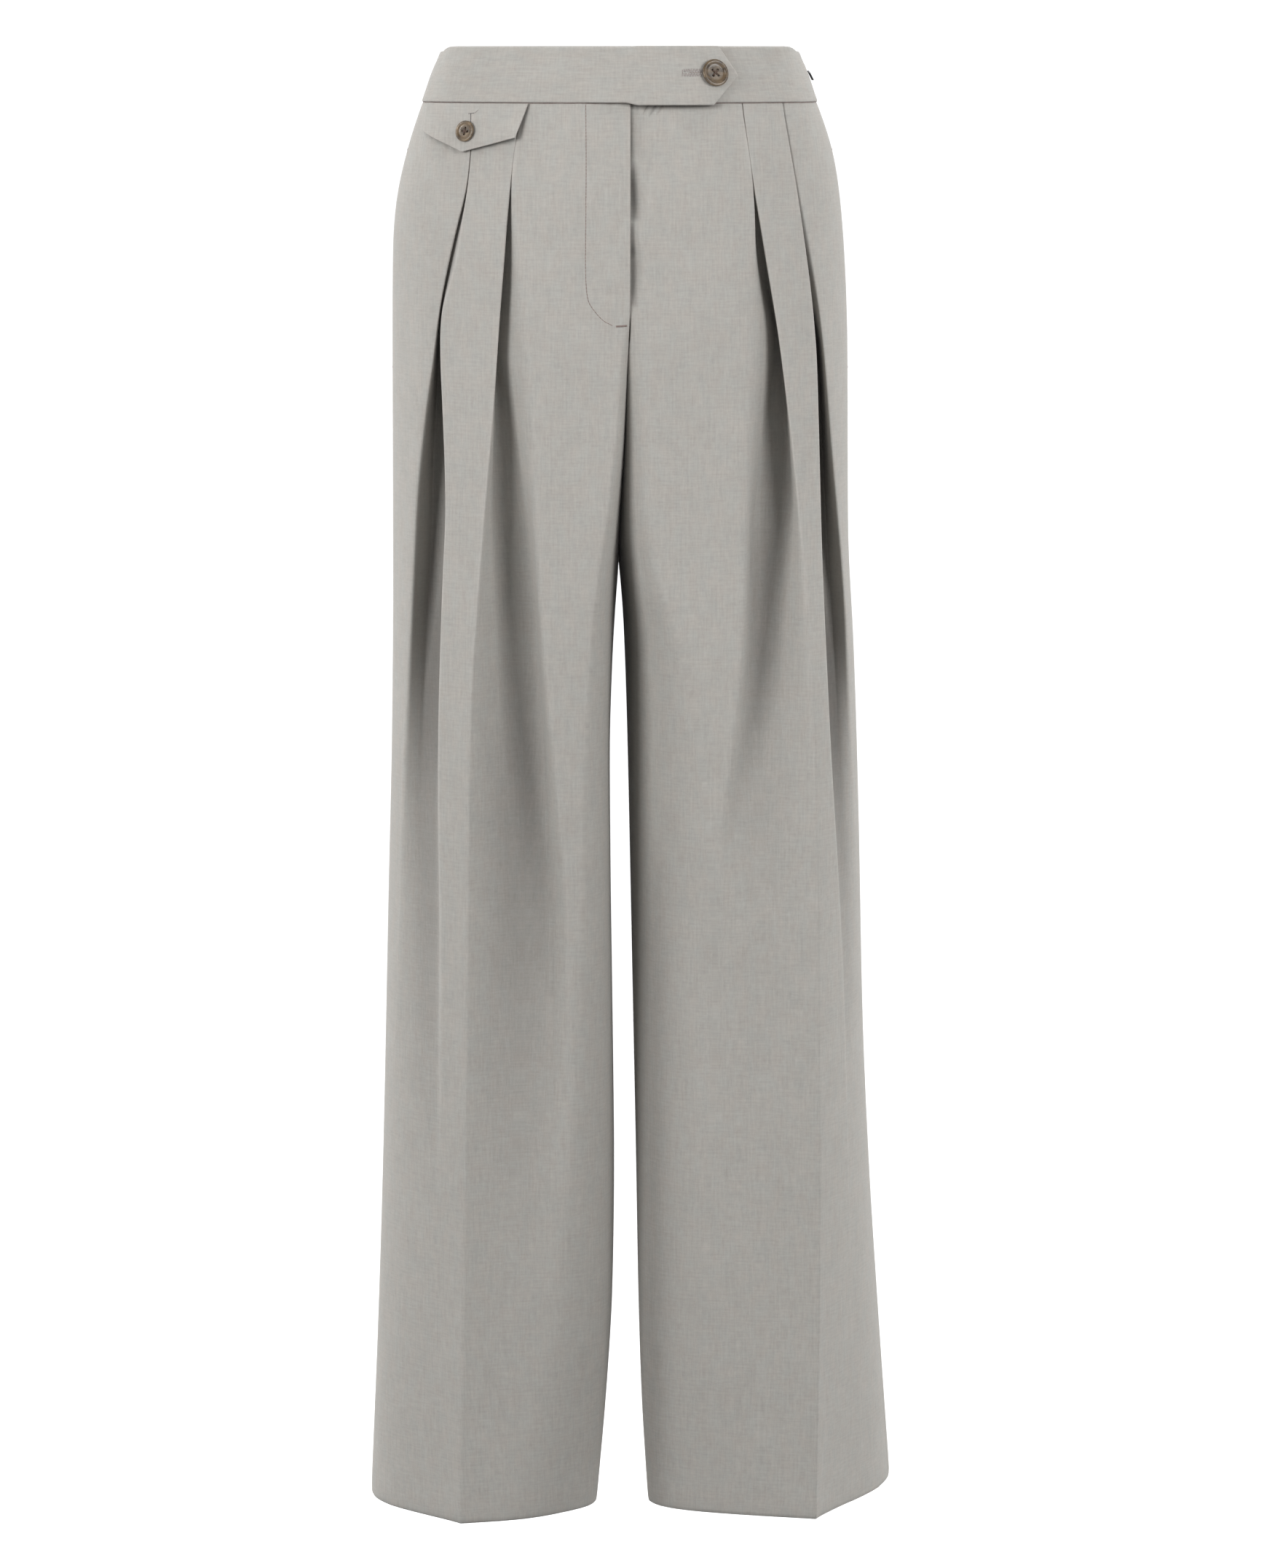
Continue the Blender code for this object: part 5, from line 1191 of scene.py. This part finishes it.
# radius and height of a button's turned profile, as shares of its radius and its thickness
BUTTON_PROFILE = ((0.0, 0.0), (0.40, 0.0), (0.74, 0.0), (0.88, 0.08), (0.955, 0.24), (0.990, 0.42),
                  (1.0, 0.58), (0.993, 0.72), (0.972, 0.85), (0.935, 0.94), (0.885, 0.99), (0.835, 1.0),
                  (0.785, 0.965), (0.745, 0.89), (0.715, 0.79), (0.685, 0.70), (0.645, 0.635),
                  (0.59, 0.60), (0.52, 0.585), (0.40, 0.59), (0.20, 0.60), (0.0, 0.605))
BUTTON_STEPS = 72
HORN_PALE = {"waist_button": (0.165, 0.112, 0.060), "flap_button": (0.230, 0.158, 0.086)}
HOLE_ACROSS = 0.0017
# name, x and z of the middle, radius, thickness, distance between its holes, turn of its holes
BUTTONS = (("waist_button", 0.0664, 0.0009, 0.0100, 0.0030, 0.0040, 2.0),
           ("flap_button", 0.1090, -0.0409, 0.00775, 0.0026, 0.0030, 38.0))


def tab_face(x, z):
    """A point on the tab's outer face."""
    curve = ring(z)
    plan = curve.place(curve.where_x(x), TAB_RISE + BAND_CLOTH / 2)
    return np.array([plan[0], plan[1], z])


def flap_face(x, z):
    """A point on the pocket flap's outer face, before its foot curls."""
    down = (PANEL_TOP - z) / (PANEL_TOP - FLAP_FOOT[1][1])
    return flap_place(x, z, FLAP_LIFT + FLAP_STAND * down + FLAP_CLOTH / 2)


def seat_on(face, x, z):
    """The frame of a place on a cloth face: its axes run to the right, up and out of the cloth."""
    across = Vector(face(x + 0.004, z)) - Vector(face(x - 0.004, z))
    upward = Vector(face(x, z + 0.004)) - Vector(face(x, z - 0.004))
    out = across.cross(upward).normalized()
    if out.y > 0:
        out = -out
    side_way = Vector((0, 0, 1)).cross(out).normalized()
    turn = Matrix((side_way, out.cross(side_way), out)).transposed().to_4x4()
    return Matrix.Translation(Vector(face(x, z)) + BUTTON_CLEAR * out) @ turn


DISH = 0.60  # height of a button's dished face, as a share of its thickness


def hole_bits(name, spacing, height, low, high, length):
    """Four round cutters, one where each of a button's holes goes, wider at one end if need be."""
    bm = bmesh.new()
    for x in (-spacing / 2, spacing / 2):
        for y in (-spacing / 2, spacing / 2):
            bmesh.ops.create_cone(bm, cap_ends=True, segments=20, radius1=low, radius2=high, depth=length,
                                  matrix=Matrix.Translation((x, y, height)))
    mesh = bpy.data.meshes.new(name)
    bm.to_mesh(mesh)
    bm.free()
    return linked(name, mesh)


def turned_button(name, radius, thickness, spacing):
    """A turned button lying flat at the origin, its four holes cut through and their edges eased."""
    bm = bmesh.new()
    profile = [bm.verts.new((share * radius, 0.0, high * thickness)) for share, high in BUTTON_PROFILE]
    edges = [bm.edges.new(pair) for pair in zip(profile, profile[1:])]
    bmesh.ops.spin(bm, geom=profile + edges, cent=(0, 0, 0), axis=(0, 0, 1), angle=math.tau,
                   steps=BUTTON_STEPS, use_merge=True, use_duplicate=False)
    bmesh.ops.remove_doubles(bm, verts=bm.verts, dist=1e-6)
    bmesh.ops.recalc_face_normals(bm, faces=bm.faces)
    blank = bpy.data.meshes.new(name)
    bm.to_mesh(blank)
    bm.free()
    button = linked(name, blank)
    bits = (hole_bits(f"{name}_drill", spacing, 0.0, HOLE_ACROSS / 2, HOLE_ACROSS / 2, 3 * thickness),
            hole_bits(f"{name}_sink", spacing, DISH * thickness, HOLE_ACROSS / 2 - 0.0001,
                      HOLE_ACROSS / 2 + 0.0004, 0.0005))
    for bit in bits:
        cut = button.modifiers.new(bit.name, "BOOLEAN")
        cut.object = bit
        cut.operation = "DIFFERENCE"
        cut.solver = "EXACT"
    bpy.context.view_layer.update()
    shape = bpy.data.meshes.new_from_object(button.evaluated_get(bpy.context.evaluated_depsgraph_get()))
    button.modifiers.clear()
    button.data = shape
    for bit in bits:
        bpy.data.objects.remove(bit, do_unlink=True)
    return button


def two_tone(tree, value, low_at, low, high_at, high):
    """A colour that changes from one to another as a value rises between two places."""
    ramp = node(tree, "ShaderNodeValToRGB", {"Fac": value})
    for stop, place, colour in zip(ramp.color_ramp.elements, (low_at, high_at), (low, high)):
        stop.position = place
        stop.color = (*colour, 1.0)
    return ramp.outputs["Color"]


def horn(name, dark, pale):
    """Brown horn: clouded and streaked, with a soft polish."""
    material, tree, shader = finish(name, {"Roughness": 0.34, "Coat Weight": 0.12, "Coat Roughness": 0.12})
    place = node(tree, "ShaderNodeTexCoord").outputs["Object"]
    stretch = node(tree, "ShaderNodeMapping", {"Vector": place, "Rotation": (0.0, 0.5, 0.0),
                                               "Scale": (1.0, 1.0, 2.2)})
    drawn_out = stretch.outputs["Vector"]
    clouds = node(tree, "ShaderNodeTexNoise", {"Vector": drawn_out, "Scale": 120.0, "Detail": 3.0,
                                               "Distortion": 0.4})
    specks = node(tree, "ShaderNodeTexNoise", {"Vector": drawn_out, "Scale": 700.0, "Detail": 2.0})
    tone = sum_of(tree, (clouds.outputs["Fac"], 0.85), (specks.outputs["Fac"], 0.16))
    tree.links.new(two_tone(tree, tone, 0.34, dark, 0.70, pale), shader.inputs["Base Color"])
    raise_by(tree, shader, specks.outputs["Fac"], 0.15, 0.0002)
    return material


def thread(name, colour):
    """Spun sewing thread, matt, a little uneven in colour."""
    material, tree, shader = finish(name, {"Roughness": 0.75, "Sheen Weight": 0.1})
    place = node(tree, "ShaderNodeTexCoord").outputs["Object"]
    spun = node(tree, "ShaderNodeTexNoise", {"Vector": place, "Scale": 1500.0}).outputs["Fac"]
    dark, pale = [0.7 * c for c in colour], [1.25 * c for c in colour]
    tree.links.new(two_tone(tree, spun, 0.3, dark, 0.7, pale), shader.inputs["Base Color"])
    raise_by(tree, shader, spun, 0.4, 0.0001)
    return material


def strand(bm, points, radius, sides=8):
    """A closed length of thread through the given points."""
    points = [Vector(point) for point in points]
    loops = []
    for i, point in enumerate(points):
        way = points[min(i + 1, len(points) - 1)] - points[max(i - 1, 0)]
        turn = way.to_track_quat("Z", "Y").to_matrix().to_4x4()
        last = i in (0, len(points) - 1)
        made = bmesh.ops.create_circle(bm, cap_ends=last, segments=sides, radius=radius,
                                       matrix=Matrix.Translation(point) @ turn)["verts"]
        loops.append(list({edge for vert in made for edge in vert.link_edges}))
    for before, after in zip(loops, loops[1:]):
        bmesh.ops.bridge_loops(bm, edges=before + after)


def piece(name, bm, material):
    """A finished object from a bmesh, its faces turned outward."""
    bmesh.ops.recalc_face_normals(bm, faces=bm.faces)
    return linked(name, mesh_of(name, bm, material))


HORN_DARK = (0.026, 0.016, 0.008)
button_thread = thread("button_thread", (0.085, 0.052, 0.036))
for name, x, z, radius, thickness, spacing, hole_turn in BUTTONS:
    face = tab_face if name == "waist_button" else flap_face
    seat = seat_on(face, x, z) @ Matrix.Rotation(math.radians(hole_turn), 4, "Z")
    button = turned_button(f"{name}_horn", radius, thickness, spacing)
    button.data.transform(seat)
    button.data.materials.clear()
    button.data.materials.append(horn(f"{name}_finish", HORN_DARK, HORN_PALE[name]))
    button.data.shade_smooth()
    button.data.set_sharp_from_angle(angle=math.radians(38))
    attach(button, "root")
    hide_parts(name)
    sewing = bmesh.new()
    dish = DISH * thickness
    for across in (-1, 1):
        for offset in (-0.00033, 0.00033):
            run = []
            for t in np.linspace(-1.0, 1.0, 13):
                at = t * spacing / 2
                lift = dish + 0.0002 + 0.00042 * (1 - t * t) + 0.0002 * (across > 0) * (1 - t * t)
                drop = 0.0012 * max(0.0, abs(t) - 0.86) / 0.14
                run.append((at + offset * 0.7, across * at - across * offset * 0.7, lift - drop))
            strand(sewing, run, 0.00030)
    for way in (0.0, math.pi / 2):
        for offset in (-0.0009, 0.0, 0.0009):
            low = -BUTTON_CLEAR - 0.0002
            strand(sewing, [(offset * math.cos(way), offset * math.sin(way), low),
                            (offset * math.cos(way), offset * math.sin(way), 0.3 * thickness)], 0.0004)
    bmesh.ops.transform(sewing, matrix=seat, verts=sewing.verts)
    stitches = piece(f"{name}_thread", sewing, button_thread)
    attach(stitches, "root")

# ---------------------------------------------------------------------------------------- stitching
# Mauve-brown thread that matches the cloth from afar: the fly's curved stitch with its bar tack, the
# waist seam, drawn darker and thicker so that it is partly painted shade in the seam's ditch, the worked
# buttonholes, and the tacks at the ends of the side pockets' openings.
FLY_STITCH = ((-0.0242, -0.0210), (-0.0239, -0.0600), (-0.0241, -0.1000), (-0.0244, -0.1370),
              (-0.0236, -0.1540), (-0.0223, -0.1610), (-0.0177, -0.1686), (-0.0111, -0.1754),
              (-0.0051, -0.1786))
seam_thread = thread("seam_thread", (0.225, 0.168, 0.150))
ditch_thread = thread("ditch_thread", (0.170, 0.130, 0.118))
hole_thread = thread("buttonhole_thread", (0.300, 0.262, 0.250))
dark_thread = thread("dark_thread", (0.045, 0.040, 0.045))
ready = bpy.context.evaluated_depsgraph_get()
skins = {name: BVHTree.FromObject(bpy.data.objects[name], ready)
         for name in ("front_right_cloth", "front_left_cloth", "waistband_cloth", "pocket_flap_cloth")}


def on_cloth(skin, x, z):
    """The place and the outward direction where a level line from the front meets a piece of cloth."""
    place, normal, _, _ = skins[skin].ray_cast(Vector((x, -1.0, z)), Vector((0.0, 1.0, 0.0)))
    if normal.y > 0:
        normal = -normal
    return place, normal


def bead(bm, place, normal, way, length, width, lift=0.3):
    """One stitch: a rounded bead that lies along its way on the cloth."""
    way = (way - way.dot(normal) * normal).normalized()
    turn = Matrix((way, normal.cross(way), normal)).transposed().to_4x4()
    size = Matrix.Diagonal((length / 2, width / 2, 0.45 * width, 1.0))
    bmesh.ops.create_uvsphere(bm, u_segments=6, v_segments=5, radius=1.0,
                              matrix=Matrix.Translation(place + lift * width * normal) @ turn @ size
                              @ Matrix.Rotation(math.pi / 2, 4, "Y"))


def spaced(path, step):
    """Evenly spaced points along a run of (x, z) places, each with its direction."""
    path = np.array(path, float)
    along = np.concatenate([[0.0], np.cumsum(np.linalg.norm(np.diff(path, axis=0), axis=1))])
    at = np.arange(step / 2, along[-1], step)
    xs, zs = np.interp(at, along, path[:, 0]), np.interp(at, along, path[:, 1])
    ahead = np.interp(at + 0.0004, along, path[:, 0]) - np.interp(at - 0.0004, along, path[:, 0])
    up = np.interp(at + 0.0004, along, path[:, 1]) - np.interp(at - 0.0004, along, path[:, 1])
    return [(x, z, Vector((a, 0.0, u))) for x, z, a, u in zip(xs, zs, ahead, up)]


def sew(name, skin, path, step, length, width, material, across=False, lift=0.3):
    """A row of stitches along a path on a piece of cloth, or short ones square to it."""
    bm = bmesh.new()
    for i, (x, z, way) in enumerate(spaced(path, step)):
        place, normal = on_cloth(skin, x, z)
        if across:
            way = normal.cross(way) + 0.16 * (i % 2 * 2 - 1) * way
        bead(bm, place, normal, way, length, width, lift)
    row = piece(name, bm, material)
    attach(row, "root")


def smooth_path(points, count=60):
    """A soft curve through a few given places."""
    points = np.array(points, float)
    along = np.concatenate([[0.0], np.cumsum(np.linalg.norm(np.diff(points, axis=0), axis=1))])
    places = table("along x z", *np.column_stack([along, points])[::-1])
    at = np.linspace(0.0, along[-1], count)
    return np.stack([exact(places, "x", at), exact(places, "z", at)], axis=-1)


sew("fly_stitch", "front_right_cloth", smooth_path(FLY_STITCH), 0.0024, 0.0025, 0.00054, seam_thread,
    lift=0.0)
sew("fly_tack", "front_right_cloth", ((-0.0025, -0.1792), (0.0056, -0.1788)), 0.00042, 0.0015, 0.00045,
    seam_thread, across=True)
sew("buttonhole_waist_upper", "waistband_cloth", ((0.0460, 0.0030), (0.0590, 0.0030)), 0.00095, 0.0029,
    0.00060, hole_thread, across=True, lift=0.05)
sew("buttonhole_waist_lower", "waistband_cloth", ((0.0460, 0.0000), (0.0590, 0.0000)), 0.00095, 0.0029,
    0.00060, hole_thread, across=True, lift=0.05)
sew("buttonhole_waist_slit", "waistband_cloth", ((0.0500, 0.00150), (0.0600, 0.00150)), 0.0012, 0.0014,
    0.00036, seam_thread, lift=0.1)
sew("buttonhole_waist_end", "waistband_cloth", ((0.0452, -0.0010), (0.0452, 0.0040)), 0.00060, 0.0012,
    0.00045, hole_thread, across=True, lift=0.15)
sew("buttonhole_flap_slit", "pocket_flap_cloth", ((-0.1074, -0.0278), (-0.1074, -0.0345)), 0.0010, 0.0013,
    0.00050, dark_thread, lift=0.1)
sew("buttonhole_flap_end", "pocket_flap_cloth", ((-0.1093, -0.0281), (-0.1047, -0.0276)), 0.0011, 0.0014,
    0.00042, dark_thread, lift=0.1)
sew("buttonhole_flap_hair", "pocket_flap_cloth", ((-0.1047, -0.0277), (-0.1018, -0.0252)), 0.0010,
    0.0014, 0.00028, hole_thread, lift=0.3)

TACK_HEIGHTS, TACK_STITCHES = (-0.055, -0.215), 13
for side in (RIGHT, LEFT):
    tacks = bmesh.new()
    edge = fronts[side].data.vertices
    for z in TACK_HEIGHTS:
        seam_y = max(vert.co.y for vert in edge if abs(vert.co.z - z) < 0.002)
        for i in range(TACK_STITCHES):
            start = Vector((OUTWARD[side] * 0.4, seam_y - 0.0012 - 0.00042 * i, z))
            way = Vector((-OUTWARD[side], 0.0, 0.0))
            place, normal, _, _ = skins[f"front_{side}_cloth"].ray_cast(start, way)
            if normal.dot(way) > 0:
                normal = -normal
            bead(tacks, place, normal, Vector((0.0, 0.16 * (i % 2 * 2 - 1), 1.0)), 0.0018, 0.00040,
                 lift=0.0)
    tack_row = piece(f"pocket_tacks_{side}", tacks, seam_thread)
    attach(tack_row, "root")

# The waist seam: a strand darker and thicker than its thread, partly painted shade in the ditch under the
# band
seam_line = bmesh.new()
curve = ring(PANEL_TOP + 0.0003)
along = np.linspace(0.0, curve.length, 700, endpoint=False)
wander = 0.00012 * np.sin(along * 410.0) + 0.00010 * np.sin(along * 173.0 + 1.0)
plan = curve.place(along, wander)
run = [(x, y, PANEL_TOP + 0.00015 + w) for (x, y), w in zip(plan, wander)]
strand(seam_line, run + run[:1], 0.00042, sides=6)
waist_seam = piece("waist_seam", seam_line, ditch_thread)
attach(waist_seam, "root")

# ---------------------------------------------------------------------------------------- side tab
# A short black woven tape with a pale grey end, sewn flat to the outside of the waistband over the
# wearer's left hip.
SIDE_TAB_HEIGHT = 0.0070
SIDE_TAB_WIDTH = 0.0100
SIDE_TAB_THICKNESS = 0.0014
SIDE_TAB_Z = -0.0012
SIDE_TAB_ROUND = 0.0005  # its edges are rounded this much
TAPE_BLACK, TAPE_PALE = (0.008, 0.008, 0.010), (0.30, 0.30, 0.31)


def tape(name):
    """Black ribbed tape with a pale end."""
    material, tree, shader = finish(name, {"Roughness": 0.7})
    place = node(tree, "ShaderNodeTexCoord").outputs["Object"]
    height = node(tree, "ShaderNodeSeparateXYZ", {0: place}).outputs["Z"]
    end = stretched(tree, height, SIDE_TAB_Z + 0.0016, SIDE_TAB_Z + 0.0022)
    tree.links.new(two_tone(tree, end, 0.0, TAPE_BLACK, 1.0, TAPE_PALE), shader.inputs["Base Color"])
    ribs = node(tree, "ShaderNodeTexWave", {"Vector": place, "Scale": 500.0}, bands_direction="Z")
    raise_by(tree, shader, ribs.outputs["Fac"], 0.5, 0.0002)
    return material


middle, outward, half, weave = [], [], [], []
widest_y = float(SIDE_TAB_WIDTH / 2 + smooth(SIDE[LEFT], "y", SIDE_TAB_Z))
for down in rim_spacing(SIDE_TAB_HEIGHT, SIDE_TAB_ROUND, 8):
    z = SIDE_TAB_Z + SIDE_TAB_HEIGHT / 2 - down
    along = rim_spacing(SIDE_TAB_WIDTH, SIDE_TAB_ROUND, 12)
    out = float(0.0002 + SIDE_TAB_THICKNESS / 2 + 0.0010 * down / SIDE_TAB_HEIGHT)
    places, ways = [], []
    for y in (widest_y - along).tolist():
        start, inwards = Vector((0.4, y, z)), Vector((-1.0, 0.0, 0.0))
        place, normal, _, _ = skins["waistband_cloth"].ray_cast(start, inwards)
        level_way = Vector((abs(normal.x), normal.y * math.copysign(1.0, normal.x), 0.0)).normalized()
        places.append(place + out * level_way)
        ways.append(level_way)
    middle.append(np.array(places))
    outward.append(np.array(ways))
    rim = np.minimum(np.minimum(along, SIDE_TAB_WIDTH - along), min(down, SIDE_TAB_HEIGHT - down))
    half.append(SIDE_TAB_THICKNESS / 2 * rim_height(rim, SIDE_TAB_ROUND))
    weave.append(np.stack([along, np.full(len(along), z)], axis=-1))
middle, outward, half, weave = (np.array(values) for values in (middle, outward, half, weave))
side_tab = two_faced("side_tab_tape", middle, outward, half, weave, np.zeros(half.shape),
                     tape("black_tape"))
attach(side_tab, "root")
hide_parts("side_tab")
